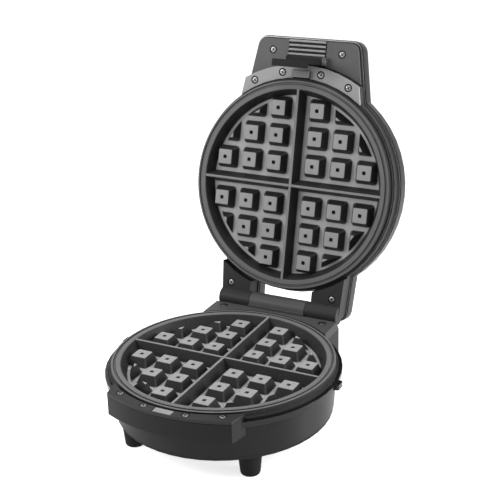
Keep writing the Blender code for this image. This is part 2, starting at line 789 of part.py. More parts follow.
def reflector_profile():
    pad_in = HEATER_RADIUS - REFLECTOR_PAD_WIDTH / 2
    pad_out = HEATER_RADIUS + REFLECTOR_PAD_WIDTH / 2
    sheet = REFLECTOR_SHEET
    return [
        (REFLECTOR_RIM_RADIUS, -REFLECTOR_RIM_DROP),
        (REFLECTOR_WALL_RADIUS, -REFLECTOR_RIM_DROP),
        (REFLECTOR_SHOULDER_RADIUS, -PLATE_DEPTH),
        (REFLECTOR_FLOOR_RADIUS, -REFLECTOR_DROP),
        (pad_out, -REFLECTOR_DROP),
        (pad_out - sheet, -REFLECTOR_PAD_DROP),
        (pad_in + sheet, -REFLECTOR_PAD_DROP),
        (pad_in, -REFLECTOR_DROP),
        (0, -REFLECTOR_DROP),
        (0, -REFLECTOR_DROP - sheet),
        (REFLECTOR_FLOOR_RADIUS + sheet, -REFLECTOR_DROP - sheet),
        (REFLECTOR_SHOULDER_RADIUS + sheet, -PLATE_DEPTH - sheet),
        (REFLECTOR_WALL_RADIUS + sheet, -REFLECTOR_RIM_DROP - sheet),
        (REFLECTOR_RIM_RADIUS, -REFLECTOR_RIM_DROP - sheet),
    ]


def heater_points():
    """The element runs round behind the plate and stays open toward the hinge."""
    start = math.pi / 2 + HEATER_OPENING / 2
    sweep = 2 * math.pi - HEATER_OPENING
    turns = [start + sweep * i / (HEATER_POINTS - 1) for i in range(HEATER_POINTS)]
    return [(HEATER_RADIUS * math.cos(a), HEATER_RADIUS * math.sin(a), -HEATER_DROP) for a in turns]


def thermostat_profile():
    top = -PLATE_DEPTH - CLEARANCE
    bottom = -REFLECTOR_DROP + CLEARANCE
    step = top + (bottom - top) * THERMOSTAT_CAP_SHARE
    return screw_shape(THERMOSTAT_RADIUS, THERMOSTAT_CAP_RADIUS, bottom, step, top)


def make_heating(prefix, parent, place):
    reflector = turned("reflector", reflector_profile(), SHEET_SEGMENTS)
    add(prefix + "_reflector", reflector, parent, BRIGHT_METAL, place)
    heater = tube_curve("heater", heater_points(), HEATER_TUBE, 2)
    add(prefix + "_heating_element", heater, parent, DULL_METAL, place)
    thermostat = turned("thermostat", thermostat_profile(), SMALL_SEGMENTS)
    add(prefix + "_thermostat", thermostat, parent, BRIGHT_METAL, place)


# Base

def make_drum(parent):
    bottom_radius = DRUM_TOP_RADIUS - DRUM_TAPER
    slope = DRUM_TAPER / (DRUM_TOP - DRUM_BOTTOM)
    ledge_top = LOWER_FACE - REFLECTOR_RIM_DROP - REFLECTOR_SHEET - CLEARANCE
    ledge_bottom = ledge_top - LEDGE_THICKNESS
    wall_top, ledge_outer, ledge_lower = [DRUM_TOP_RADIUS - DRUM_WALL - slope * (DRUM_TOP - height)
                                          for height in (DRUM_TOP, ledge_top, ledge_bottom)]
    profile = [
        (bottom_radius, DRUM_BOTTOM),
        (DRUM_TOP_RADIUS, DRUM_TOP),
        (wall_top, DRUM_TOP),
        (ledge_outer, ledge_top),
        (ledge_outer - LEDGE_WIDTH, ledge_top),
        (ledge_outer - LEDGE_WIDTH, ledge_bottom),
        (ledge_lower, ledge_bottom),
        (bottom_radius - DRUM_WALL, DRUM_BOTTOM),
    ]
    drum = add("base_drum", turned("base_drum", profile), parent, GLOSS_BLACK)
    cut(drum, wire_way())


def wire_way():
    """The hole through which the wires pass from the rear block into the drum."""
    turn = Matrix.Translation((0, 0, GLAND_HEIGHT)) @ Matrix.Rotation(-math.pi / 2, 4, "X")
    start = DRUM_TOP_RADIUS - DRUM_TAPER - DRUM_WALL - OVERRUN
    end = DRUM_FIT_RADIUS + REAR_WALL + RUNNING_CLEARANCE
    radius = WIRE_WAY_RADIUS
    profile = [(0, start), (radius, start), (radius, end), (0, end)]
    return turned("wire_way", profile, SMALL_SEGMENTS, turn)


def make_rim_ring(parent):
    inner = RING_RADIUS - RING_LAND
    web_top = RING_BOTTOM + RING_WEB
    profile = [
        (DRUM_FIT_RADIUS, RING_BOTTOM),
        (RING_RADIUS, RING_BOTTOM),
        (RING_RADIUS, RING_TOP),
        (inner, RING_TOP),
        (inner, web_top),
        (DRUM_FIT_RADIUS, web_top),
    ]
    ring = add("rim_ring", turned("rim_ring", profile), parent, GLOSS_BLACK)
    root = RING_RADIUS - JOIN_OVERLAP
    tip = RING_RADIUS + LUG_WIDTH
    near = LUG_FORWARD - LUG_LENGTH / 2
    far = LUG_FORWARD + LUG_LENGTH / 2
    lug = rounded([(root, near), (tip, near), (tip, far), (root, far)], [0, LUG_CORNER, LUG_CORNER, 0])
    join(ring, prism("right_lug", lug, RING_BOTTOM, RING_TOP))
    join(ring, prism("left_lug", mirrored(lug), RING_BOTTOM, RING_TOP))


def ring_room(low, high):
    return disc("ring_room", RING_FIT_RADIUS, low, high)


def release_room(low, high):
    half = RELEASE_HALF + RELEASE_GAP
    near = -RELEASE_END - CLEARANCE
    far = -PLATE_WELL_RADIUS + OVERRUN
    return box("release_room", (-half, near, low), (half, far, high))


def release_cap(name, low, high):
    return box(name, (-RELEASE_HALF, -RELEASE_END, low), (RELEASE_HALF, -RELEASE_START, high))


def spring_points(low, high):
    """A coil about the plunger's line, kept inside the two heights."""
    steps = SPRING_TURNS * SPRING_POINTS_PER_TURN
    start = low + SPRING_WIRE
    rise = (high - low - 2 * SPRING_WIRE) / steps
    turns = [2 * math.pi * i / SPRING_POINTS_PER_TURN for i in range(steps + 1)]
    return [(SPRING_RADIUS * math.cos(a), SPRING_RADIUS * math.sin(a) - PLUNGER_REACH, start + rise * i)
            for i, a in enumerate(turns)]


def make_grip(parent):
    grip = add("front_grip", prism("front_grip", grip_outline(PLATE_WELL_RADIUS), GRIP_BOTTOM, GRIP_SEAT),
               parent, GLOSS_BLACK)
    cut(grip, ring_room(REAR_STEP, PLATFORM_BOTTOM))
    retainer = add("lower_retainer", prism("lower_retainer", grip_outline(PLATE_WELL_RADIUS),
                                           GRIP_SEAT + CLEARANCE, GRIP_TOP), parent, SATIN_BLACK)
    floor = GRIP_TOP - LOWER_RELEASE_HEIGHT - RELEASE_TRAVEL - CLEARANCE
    cap_bottom = GRIP_TOP - LOWER_RELEASE_HEIGHT
    pressed = cap_bottom - PLUNGER_LENGTH - RELEASE_TRAVEL
    well_floor = pressed - SPRING_LENGTH - 2 * CLEARANCE
    places = crescent_screw_places(GRIP_SCREW_RADIUS)
    for piece in (grip, retainer):
        cut(piece, release_room(floor, GRIP_TOP + OVERRUN))
        cut_screw_holes(piece, places, GRIP_TOP)
    cut(grip, posts("well", PLUNGER_RADIUS + CLEARANCE, well_floor, GRIP_TOP, PLUNGER_PLACE))
    add_screws("lower_retainer_screw", places, GRIP_TOP, parent)
    release = add("lower_plate_release", release_cap("lower_plate_release", cap_bottom, GRIP_TOP),
                  parent, SATIN_GREY)
    join(release, posts("plunger", PLUNGER_RADIUS, cap_bottom - PLUNGER_LENGTH, cap_bottom + JOIN_OVERLAP,
                        PLUNGER_PLACE))
    spring_low = well_floor + CLEARANCE
    spring = tube_curve("spring", spring_points(spring_low, spring_low + SPRING_LENGTH), SPRING_WIRE, 0)
    add("lower_release_spring", spring, parent, BRIGHT_METAL)


def make_rear_block(parent):
    rear = add("rear_block", prism("rear_block", rear_outline(DRUM_FIT_RADIUS, REAR_HALF, REAR_REACH),
                                   DRUM_BOTTOM, REAR_TOP), parent, SATIN_BLACK)
    join(rear, box("tail", (-TAIL_HALF, REAR_REACH - JOIN_OVERLAP, DRUM_BOTTOM),
                   (TAIL_HALF, TAIL_REACH, TAIL_TOP)))
    cut(rear, ring_room(REAR_STEP, REAR_TOP + OVERRUN))
    ceiling = REAR_STEP - REAR_WALL
    low = DRUM_BOTTOM - OVERRUN
    hollow = rear_outline(DRUM_FIT_RADIUS + REAR_WALL, REAR_HALF - REAR_WALL, REAR_REACH - REAR_WALL)
    cut(rear, prism("hollow", hollow, low, ceiling))
    cut(rear, box("tail_hollow", (-TAIL_HALF + REAR_WALL, REAR_REACH - REAR_WALL - JOIN_OVERLAP, low),
                  (TAIL_HALF - REAR_WALL, TAIL_REACH - REAR_WALL, ceiling)))
    cut(rear, wire_way())

    turn = Matrix.Translation((0, TAIL_REACH, GLAND_HEIGHT)) @ Matrix.Rotation(-math.pi / 2, 4, "X")
    neck = GLAND_NECK_RADIUS + CLEARANCE
    hole = [(0, -REAR_WALL - OVERRUN), (neck, -REAR_WALL - OVERRUN), (neck, OVERRUN), (0, OVERRUN)]
    cut(rear, turned("gland_hole", hole, SMALL_SEGMENTS, turn))
    gland = [
        (GLAND_BORE, -REAR_WALL),
        (GLAND_NECK_RADIUS, -REAR_WALL),
        (GLAND_NECK_RADIUS, CLEARANCE),
        (GLAND_RADIUS, CLEARANCE),
        (GLAND_NECK_RADIUS, GLAND_REACH),
        (GLAND_BORE, GLAND_REACH),
    ]
    add("cord_gland", turned("cord_gland", gland, SMALL_SEGMENTS, turn), parent, SOFT_BLACK)


def make_platform(parent):
    low = rear_outline(PLATE_WELL_RADIUS, REAR_HALF, REAR_REACH)
    high = rear_outline(PLATE_WELL_RADIUS, REAR_HALF - PLATFORM_BEVEL, REAR_REACH)
    slab = stack("hinge_platform", [at_height(low, PLATFORM_BOTTOM), at_height(high, PLATFORM_TOP)])
    platform = add("hinge_platform", slab, parent, SATIN_DARK)
    join(platform, box("web", (-TAIL_HALF, REAR_REACH - JOIN_OVERLAP, PLATFORM_BOTTOM),
                       (TAIL_HALF, TAIL_REACH, AXIS_HEIGHT)))
    join(platform, rod_along_x("knuckle", KNUCKLE_RADIUS, TAIL_HALF, HINGE_REACH, AXIS_HEIGHT))
    cut(platform, rod_along_x("pin_bore", PIN_RADIUS + CLEARANCE, TAIL_HALF + OVERRUN, HINGE_REACH,
                              AXIS_HEIGHT, SCREW_SEGMENTS))
    places = pair(PLATFORM_SCREW_HALF, PLATFORM_SCREW_BACK)
    length = PLATFORM_TOP - PLATFORM_BOTTOM - CLEARANCE
    cut_screw_holes(platform, places, PLATFORM_TOP, length=length)
    add_screws("platform_screw", places, PLATFORM_TOP, parent, length=length)
    pin_half = KNUCKLE_END - KNUCKLE_CAP - CLEARANCE
    pin = rod_along_x("hinge_pin", PIN_RADIUS, pin_half, HINGE_REACH, AXIS_HEIGHT, SCREW_SEGMENTS)
    add("hinge_pin", pin, parent, BRIGHT_METAL)


def make_underside(parent):
    cover = add("bottom_cover", disc("bottom_cover", BOTTOM_COVER_RADIUS, BASE_UNDERSIDE, BASE_FLOOR),
                parent, SATIN_BLACK)
    join(cover, prism("rear_tab", rear_outline(BOTTOM_COVER_RADIUS - OVERRUN, REAR_HALF, REAR_REACH),
                      BASE_UNDERSIDE, BASE_FLOOR))
    join(cover, box("tail_tab", (-TAIL_HALF, REAR_REACH - OVERRUN, BASE_UNDERSIDE),
                    (TAIL_HALF, TAIL_REACH, BASE_FLOOR)))
    cut(cover, posts("foot_screw_holes", SCREW_SHANK_RADIUS + CLEARANCE, BASE_UNDERSIDE - OVERRUN,
                     BASE_FLOOR + OVERRUN, foot_places()))


def make_feet(parent):
    top = BASE_UNDERSIDE - CLEARANCE
    shank = SCREW_SHANK_RADIUS + CLEARANCE
    recess = FOOT_FLOOR + SCREW_HEAD + CLEARANCE
    profile = [
        (FOOT_BORE_RADIUS, 0),
        (FOOT_PAD_RADIUS, 0),
        (FOOT_PAD_RADIUS + FOOT_EDGE, FOOT_EDGE),
        (FOOT_TOP_RADIUS, top),
        (shank, top),
        (shank, recess),
        (FOOT_BORE_RADIUS, recess),
    ]
    names = ("front_left_foot", "front_right_foot", "rear_left_foot", "rear_right_foot")
    for name, (x, y) in zip(names, foot_places()):
        place = Matrix.Translation((x, y, 0))
        add(name, turned(name, profile, SMALL_SEGMENTS, place), parent, SOFT_BLACK)
    add_screws("foot_screw", foot_places(), FOOT_FLOOR, parent, facing=-1, length=BASE_FLOOR - FOOT_FLOOR)


def make_wiring(parent):
    half = TERMINAL_LENGTH / 2
    seat = BASE_FLOOR + CLEARANCE
    top = seat + TERMINAL_HEIGHT
    front = TERMINAL_BACK - TERMINAL_DEPTH
    block = add("terminal_block", box("terminal_block", (-half, front, seat), (half, TERMINAL_BACK, top)),
                parent, CERAMIC)
    pitch = TERMINAL_LENGTH / TERMINAL_SLOTS
    middles = [(i + 0.5) * pitch - half for i in range(TERMINAL_SLOTS)]
    cut(block, boxes("slots", [((middle - TERMINAL_SLOT / 2, front - OVERRUN, top - TERMINAL_SLOT_DEPTH),
                                (middle + TERMINAL_SLOT / 2, TERMINAL_BACK + OVERRUN, top + OVERRUN))
                               for middle in middles]))
    height = LOWER_FACE - REFLECTOR_DROP - REFLECTOR_SHEET - CLEARANCE - FUSE_RADIUS
    fuse = rod_along_x("thermal_fuse", FUSE_RADIUS, FUSE_LENGTH / 2, -FUSE_FORWARD, height, SCREW_SEGMENTS)
    add("thermal_fuse", fuse, parent, CERAMIC)


def make_base(root):
    make_drum(root)
    make_rim_ring(root)
    make_grip(root)
    make_rear_block(root)
    make_platform(root)
    make_underside(root)
    make_feet(root)
    make_wiring(root)
    place = Matrix.Translation((0, 0, LOWER_FACE))
    make_plate("lower_plate", root, place)
    make_heating("lower", root, place)


# Lid, modelled shut

def shell_solids(distance, low, high):
    """The disc, handle and arms that make up the lid's outer form, drawn in by the distance."""
    fillet = LID_FILLET - distance
    radius = LID_RADIUS - distance
    turns = [math.pi / 2 * i / FILLET_STEPS for i in range(FILLET_STEPS + 1)]
    edge = [(radius - fillet * (1 - math.cos(a)), high - fillet * (1 - math.sin(a))) for a in turns]
    body = turned("body", [(0, low), (radius, low)] + edge + [(0, high)])
    handle = domed_prism("handle", handle_outline(distance), low, high, fillet)
    right, left = [domed_prism(name, outline, low, high, fillet)
                   for name, outline in zip(("right_arm", "left_arm"), arm_outlines(distance))]
    return body, handle, right, left


def flat_solids(distance, low, high):
    """The lid's plan as flat slabs between two heights."""
    body = disc("body", LID_RADIUS - distance, low, high)
    handle = prism("handle", handle_outline(distance), low, high)
    right, left = [prism(name, outline, low, high)
                   for name, outline in zip(("right_arm", "left_arm"), arm_outlines(distance))]
    return body, handle, right, left


def make_cover(parent):
    body, *others = shell_solids(0, COVER_BOTTOM, LID_TOP)
    cover = add("lid_cover", body, parent, GLOSS_BLACK)
    for mesh in others:
        join(cover, mesh)
    for mesh in shell_solids(LID_WALL, COVER_BOTTOM - OVERRUN, COVER_CEILING):
        mesh.name += "_room"
        cut(cover, mesh)
    places = pair(LENS_HALF, -LENS_FORWARD)
    cut(cover, posts("lens_holes", LENS_RADIUS + CLEARANCE, COVER_CEILING - OVERRUN, LID_TOP + OVERRUN,
                     places))
    seat = COVER_CEILING - CLEARANCE
    lens = [
        (0, seat - LENS_FLANGE),
        (LENS_FLANGE_RADIUS, seat - LENS_FLANGE),
        (LENS_FLANGE_RADIUS, seat),
        (LENS_RADIUS, seat),
        (LENS_RADIUS, LID_TOP),
        (LENS_RADIUS - LENS_PROUD, LID_TOP + LENS_PROUD),
        (0, LID_TOP + LENS_PROUD),
    ]
    for name, (x, y), look in zip(("power_lens", "ready_lens"), places, (RED_GLASS, GREEN_GLASS)):
        add(name, turned(name, lens, SCREW_SEGMENTS, Matrix.Translation((x, y, 0))), parent, look)


def make_trim(parent):
    body, *others = flat_solids(TRIM_INSET, TRIM_BOTTOM, TRIM_TOP)
    trim = add("lid_trim", body, parent, BRIGHT_METAL)
    for mesh in others:
        join(trim, mesh)
    body, *others = flat_solids(TRIM_INSET + TRIM_WIDTH, TRIM_BOTTOM - OVERRUN, TRIM_TOP + OVERRUN)
    room = guide("lid_trim_room", body, parent)
    for mesh in others:
        join(room, mesh)
    combine(trim, room, "DIFFERENCE")


def frame_arms(parent):
    """The two hinge arms with their knuckles, cut clear of the plate."""
    right, left = [prism(name, outline, ARM_FACE, FRAME_TOP)
                   for name, outline in zip(("right_arm", "left_arm"), arm_outlines(FRAME_INSET))]
    arms = guide("frame_arms", right, parent)
    join(arms, left)
    inner = FRAME_RING_RADIUS - JOIN_OVERLAP
    clear = FLANGE_RADIUS + ARM_DISC_GAP
    room = [
        (0, ARM_FACE - OVERRUN),
        (clear, ARM_FACE - OVERRUN),
        (clear, FRAME_FACE),
        (inner, FRAME_FACE),
        (inner, FRAME_TOP + OVERRUN),
        (0, FRAME_TOP + OVERRUN),
    ]
    cut(arms, turned("plate_room", room))
    start = TAIL_HALF + RUNNING_CLEARANCE
    spans = [(-KNUCKLE_END, -start), (start, KNUCKLE_END)]
    join(arms, rods_along_x("knuckles", KNUCKLE_RADIUS, spans, HINGE_REACH, AXIS_HEIGHT))
    return arms


def make_frame(parent):
    wall = FRAME_RING_RADIUS - FRAME_RING_WALL
    lip_back = FRAME_FACE + FRAME_LIP
    ring = [
        (FRAME_LIP_RADIUS, FRAME_FACE),
        (FRAME_RING_RADIUS, FRAME_FACE),
        (FRAME_RING_RADIUS, FRAME_TOP),
        (wall, FRAME_TOP),
        (wall, lip_back),
        (FRAME_LIP_RADIUS, lip_back),
    ]
    frame = add("lid_frame", turned("lid_frame", ring), parent, SATIN_DARK)
    combine(frame, frame_arms(parent), "UNION")

    inner = FRAME_RING_RADIUS - JOIN_OVERLAP
    tongue = prism("frame_handle", handle_outline(FRAME_INSET), PANEL_SEAT, FRAME_TOP)
    handle = guide("frame_handle", tongue, parent)
    cut(handle, disc("body_room", inner, PANEL_SEAT - OVERRUN, FRAME_TOP + OVERRUN))
    combine(frame, handle, "UNION")
    pad = crescent_outline(FRAME_RING_RADIUS - JOIN_OVERLAP / 2)
    join(frame, prism("pad", pad, CRESCENT_BACK + CLEARANCE, FRAME_TOP))
    panel_screws = pair(PANEL_SCREW_HALF, -PANEL_SCREW_REACH)
    join(frame, posts("bosses", BOSS_RADIUS, FRAME_TOP - JOIN_OVERLAP, FRAME_TOP + BOSS_HEIGHT, panel_screws))

    blind = KNUCKLE_END - KNUCKLE_CAP
    cut(frame, rod_along_x("pin_bore", PIN_RADIUS + CLEARANCE, blind, HINGE_REACH, AXIS_HEIGHT,
                           SCREW_SEGMENTS))
    room_back = UPPER_RELEASE_BACK + RELEASE_TRAVEL + RUNNING_CLEARANCE
    cut(frame, release_room(UPPER_RELEASE_FACE, room_back))
    cut_screw_holes(frame, crescent_screw_places(CRESCENT_SCREW_RADIUS), CRESCENT_FACE, facing=-1)
    cut_screw_holes(frame, panel_screws, PANEL_FACE, facing=-1)
    cut_screw_holes(frame, pair(ARM_SCREW_HALF, ARM_SCREW_BACK), ARM_FACE, facing=-1)
    add_screws("arm_screw", pair(ARM_SCREW_HALF, ARM_SCREW_BACK), ARM_FACE, parent, facing=-1)

    spring_high = room_back - CLEARANCE
    spring = tube_curve("spring", spring_points(spring_high - SPRING_LENGTH, spring_high), SPRING_WIRE, 0)
    add("upper_release_spring", spring, parent, BRIGHT_METAL)


def make_crescent(parent):
    outline = crescent_outline(PLATE_WELL_RADIUS)
    crescent = add("upper_retainer", prism("upper_retainer", outline, CRESCENT_FACE, CRESCENT_BACK),
                   parent, SATIN_GREY)
    cut(crescent, release_room(UPPER_RELEASE_FACE, CRESCENT_BACK + OVERRUN))
    places = crescent_screw_places(CRESCENT_SCREW_RADIUS)
    cut_screw_holes(crescent, places, CRESCENT_FACE, facing=-1)
    add_screws("upper_retainer_screw", places, CRESCENT_FACE, parent, facing=-1)

    cap = release_cap("upper_plate_release", UPPER_RELEASE_FACE, UPPER_RELEASE_BACK)
    release = add("upper_plate_release", cap, parent, SATIN_DARK)
    hole_low = UPPER_RELEASE_BACK + RUNNING_CLEARANCE - SPRING_LENGTH - 2 * CLEARANCE
    cut(release, posts("spring_hole", SPRING_RADIUS + SPRING_WIRE + CLEARANCE, hole_low,
                       UPPER_RELEASE_BACK + OVERRUN, PLUNGER_PLACE))


def make_panel(parent):
    panel = add("handle_panel", prism("handle_panel", handle_outline(PANEL_INSET), PANEL_FACE, PANEL_BACK),
                parent, SATIN_DARK)
    low = PANEL_FACE - OVERRUN
    high = PANEL_BACK + OVERRUN
    cut(panel, disc("crescent_room", CRESCENT_REACH + PANEL_GAP, low, high))
    half = INSERT_HALF + RUNNING_CLEARANCE
    cut(panel, box("insert_room", (-half, -HANDLE_REACH - OVERRUN, low),
                   (half, -INSERT_START + RUNNING_CLEARANCE, high)))
    near = -LATCH_PIVOT_REACH - CHEEK_HALF_DEPTH
    far = -LATCH_PIVOT_REACH + CHEEK_HALF_DEPTH
    start = LATCH_HALF + RUNNING_CLEARANCE
    end = start + CHEEK_THICKNESS
    bottom = MATING_HEIGHT + CHEEK_RISE
    top = PANEL_BACK - CLEARANCE
    join(panel, boxes("cheeks", [((-end, near, bottom), (-start, far, top)),
                                 ((start, near, bottom), (end, far, top))]))
    cut(panel, rod_along_x("pin_bore", LATCH_PIN_RADIUS + CLEARANCE, end + OVERRUN, -LATCH_PIVOT_REACH,
                           PIVOT_HEIGHT, SCREW_SEGMENTS))
    places = pair(PANEL_SCREW_HALF, -PANEL_SCREW_REACH)
    cut_screw_holes(panel, places, PANEL_FACE, facing=-1)
    add_screws("panel_screw", places, PANEL_FACE, parent, facing=-1)
    pin = rod_along_x("latch_pin", LATCH_PIN_RADIUS, end, -LATCH_PIVOT_REACH, PIVOT_HEIGHT, SCREW_SEGMENTS)
    add("latch_pin", pin, parent, BRIGHT_METAL)


def make_insert(parent):
    """The ribbed grip in the middle of the handle's inner face."""
    end = -HANDLE_REACH + PANEL_INSET
    back = PANEL_SEAT - CLEARANCE
    front = back - INSERT_BASE
    plate = box("grip_insert", (-INSERT_HALF, end, front), (INSERT_HALF, -INSERT_START, back))
    insert = add("grip_insert", plate, parent, SATIN_GREY)
    pitch = (-INSERT_START - end - INSERT_RIB) / (INSERT_RIBS - 1)
    starts = [end + i * pitch for i in range(INSERT_RIBS)]
    join(insert, boxes("ribs", [((-INSERT_HALF, start, front - INSERT_RIB_HEIGHT),
                                 (INSERT_HALF, start + INSERT_RIB, front + INSERT_BASE / 2))
                                for start in starts]))


def make_latch(parent):
    barrel = rod_along_x("lid_latch", LATCH_BARREL, LATCH_HALF, -LATCH_PIVOT_REACH, PIVOT_HEIGHT)
    latch = add("lid_latch", barrel, parent, SATIN_DARK)
    bar_top = MATING_HEIGHT - LATCH_DROP
    arm_front = -LATCH_ARM_INNER - LATCH_ARM_THICKNESS
    join(latch, boxes("arm", [((-LATCH_HALF, arm_front, bar_top - LATCH_BAR_THICKNESS / 2),
                               (LATCH_HALF, -LATCH_ARM_INNER, PIVOT_HEIGHT))]))
    join(latch, box("bar", (-LATCH_HALF, arm_front, bar_top - LATCH_BAR_THICKNESS),
                    (LATCH_HALF, arm_front + LATCH_BAR_DEPTH, bar_top)))
    cut(latch, rod_along_x("pin_bore", LATCH_PIN_RADIUS + CLEARANCE, LATCH_HALF + OVERRUN, -LATCH_PIVOT_REACH,
                           PIVOT_HEIGHT, SCREW_SEGMENTS))


def make_lid(hinge):
    make_frame(hinge)
    make_trim(hinge)
    make_cover(hinge)
    make_crescent(hinge)
    make_panel(hinge)
    make_insert(hinge)
    make_latch(empty("latch_pivot", (0, -LATCH_PIVOT_REACH, PIVOT_HEIGHT), hinge))
    place = Matrix.Translation((0, 0, UPPER_FACE)) @ Matrix.Rotation(math.pi, 4, "Y")
    make_plate("upper_plate", hinge, place)
    make_heating("upper", hinge, place)


def centre_on_floor(root):
    """Moves the whole set so that the middle of its footprint is the origin."""
    bpy.context.view_layer.update()
    graph = bpy.context.evaluated_depsgraph_get()
    spots = []
    for piece in bpy.data.objects:
        if piece.type == "EMPTY" or piece.hide_render:
            continue
        shaped = piece.evaluated_get(graph)
        spots += [piece.matrix_world @ vertex.co for vertex in shaped.to_mesh().vertices]
        shaped.to_mesh_clear()
    low = [min(spot[axis] for spot in spots) for axis in range(3)]
    high = [max(spot[axis] for spot in spots) for axis in range(3)]
    root.location = (-(low[0] + high[0]) / 2, -(low[1] + high[1]) / 2, -low[2])


def main():
    for old in list(bpy.data.objects):
        bpy.data.objects.remove(old, do_unlink=True)
    root = empty("base", (0, 0, 0))
    hinge = empty("lid_hinge", (0, HINGE_REACH, AXIS_HEIGHT), root)
    make_base(root)
    make_lid(hinge)
    hinge.rotation_euler.x = -OPEN_ANGLE
    centre_on_floor(root)


main()
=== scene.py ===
import json
import math

import bmesh
import bpy
from mathutils import Matrix, Vector


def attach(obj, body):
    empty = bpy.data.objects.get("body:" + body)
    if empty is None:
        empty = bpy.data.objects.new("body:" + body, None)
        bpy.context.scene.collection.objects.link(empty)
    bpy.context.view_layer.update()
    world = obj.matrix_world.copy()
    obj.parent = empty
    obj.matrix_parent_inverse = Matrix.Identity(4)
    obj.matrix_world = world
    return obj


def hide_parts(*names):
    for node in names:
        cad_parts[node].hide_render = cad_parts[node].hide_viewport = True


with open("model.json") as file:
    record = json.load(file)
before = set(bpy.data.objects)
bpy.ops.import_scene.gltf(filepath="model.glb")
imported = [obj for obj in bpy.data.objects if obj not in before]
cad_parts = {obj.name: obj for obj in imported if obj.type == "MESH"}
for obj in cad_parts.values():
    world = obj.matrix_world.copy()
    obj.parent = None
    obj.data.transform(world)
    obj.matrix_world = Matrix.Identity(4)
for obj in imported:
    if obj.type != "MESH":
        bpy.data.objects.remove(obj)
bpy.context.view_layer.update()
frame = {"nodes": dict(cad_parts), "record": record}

nodes = frame["nodes"]
bodies = frame["record"]["behaviour"]["bodies"]
bodyOf = {name: body for body, names in bodies.items() for name in names}
print("frame loaded:", len(nodes), "pieces")

# Where the base and the lid stand. Pieces of the lid are drawn shut, then turned open.
openAngle = math.radians(103.5)
hinge = Vector((0, 0.064459, 0.06666))
baseShift = Vector((0, -0.049291, 0))
basePlace = Matrix.Translation(baseShift)
lidPlace = (Matrix.Translation(hinge) @ Matrix.Rotation(-openAngle, 4, "X")
            @ Matrix.Translation(baseShift - hinge))
halfTurn = Matrix.Rotation(math.pi, 4, "X")


# Shader tools

def feed(tree, socket, value):
    # links a wire to a socket, or sets the socket to a number or a colour
    if isinstance(value, Wire):
        tree.links.new(value.socket, socket)
    elif socket.type == "RGBA" and not hasattr(value, "__len__"):
        socket.default_value = (value, value, value, 1)
    elif socket.type == "RGBA" and len(value) == 3:
        socket.default_value = (*value, 1)
    else:
        socket.default_value = value


class Wire:
    # one socket, so that shader maths is written as Python
    def __init__(self, tree, socket):
        self.tree = tree
        self.socket = socket

    def work(self, operation, other=0, clamp=False, swap=False):
        node = self.tree.nodes.new("ShaderNodeMath")
        node.operation = operation
        node.use_clamp = clamp
        pair = (other, self) if swap else (self, other)
        for socket, value in zip(node.inputs, pair):
            feed(self.tree, socket, value)
        return Wire(self.tree, node.outputs[0])

    def __add__(self, other):
        return self.work("ADD", other)

    __radd__ = __add__

    def __sub__(self, other):
        return self.work("SUBTRACT", other)

    def __rsub__(self, other):
        return self.work("SUBTRACT", other, swap=True)

    def __mul__(self, other):
        return self.work("MULTIPLY", other)

    __rmul__ = __mul__

    def between(self, low, high):
        # 0 below low, 1 above high
        return (self - low).work("DIVIDE", high - low, clamp=True)


class Board:
    # the nodes of a material or of the world
    def __init__(self, owner):
        owner.use_nodes = True
        self.tree = owner.node_tree
        self.tree.nodes.clear()

    def node(self, kind, settings=None, sockets=None, output=0):
        made = self.tree.nodes.new("ShaderNode" + kind)
        for key, value in (settings or {}).items():
            setattr(made, key, value)
        for key, value in (sockets or {}).items():
            feed(self.tree, made.inputs[key], value)
        return Wire(self.tree, made.outputs[output]) if len(made.outputs) else None

    def seenBy(self, *rays):
        # 1 for the kinds of ray that are named
        seen = 0
        for ray in rays:
            seen = self.node("LightPath", output=f"Is {ray} Ray").work("ADD", seen, clamp=True)
        return seen


class Finish(Board):
    # one material
    def __init__(self, name):
        self.material = bpy.data.materials.new(name)
        super().__init__(self.material)
        self.place = self.node("TexCoord", output="Object")

    def level(self):
        # height above the piece's own origin
        return self.node("SeparateXYZ", None, {"Vector": self.place}, output="Z")

    def reach(self):
        # distance from the piece's own upright axis
        across = self.node("VectorMath", {"operation": "MULTIPLY"}, {0: self.place, 1: (1, 1, 0)})
        return self.node("VectorMath", {"operation": "LENGTH"}, {0: across}, output="Value")

    def noise(self, scale, detail, roughness, stretch=None):
        where = self.place
        if stretch:
            where = self.node("Mapping", None, {"Vector": self.place, "Scale": stretch})
        return self.node("TexNoise", {"noise_dimensions": "3D"},
                         {"Vector": where, "Scale": scale, "Detail": detail, "Roughness": roughness})

    def blend(self, factor, first, second):
        return self.node("Mix", {"data_type": "RGBA", "blend_type": "MIX"},
                         {0: factor, 6: first, 7: second}, output=2)

    def bump(self, height, distance, strength, over=None):
        sockets = {"Strength": strength, "Distance": distance, "Height": height}
        if over:
            sockets["Normal"] = over
        return self.node("Bump", None, sockets)

    def close(self, sockets):
        shader = self.node("BsdfPrincipled", None, sockets)
        self.node("OutputMaterial", None, {"Surface": shader})
        return self.material


def shade(colour, factor):
    return tuple(c * factor for c in colour)


# Finishes

def mouldedPlastic(name, look):
    # spark-eroded grain, a slow drift in tone and faint handling marks
    f = Finish(name)
    grain = f.noise(look["grain"], 3, 0.6)
    drift = f.noise(38, 3, 0.55)
    rub = f.noise(240, 4, 0.7, (1, 1, 0.3)).between(0.52, 0.74)
    tone = f.blend(drift.between(0.3, 0.7), shade(look["colour"], 0.92), shade(look["colour"], 1.08))
    tone = f.blend(grain.between(0.35, 0.75) * 0.3, tone, shade(look["colour"], 1.35))
    return f.close({
        "Base Color": tone,
        "Roughness": look["roughness"] + drift * 0.06 - rub * 0.05,
        "Specular IOR Level": look["specular"],
        "Normal": f.bump(grain, look["grainDepth"], 0.5),
    })


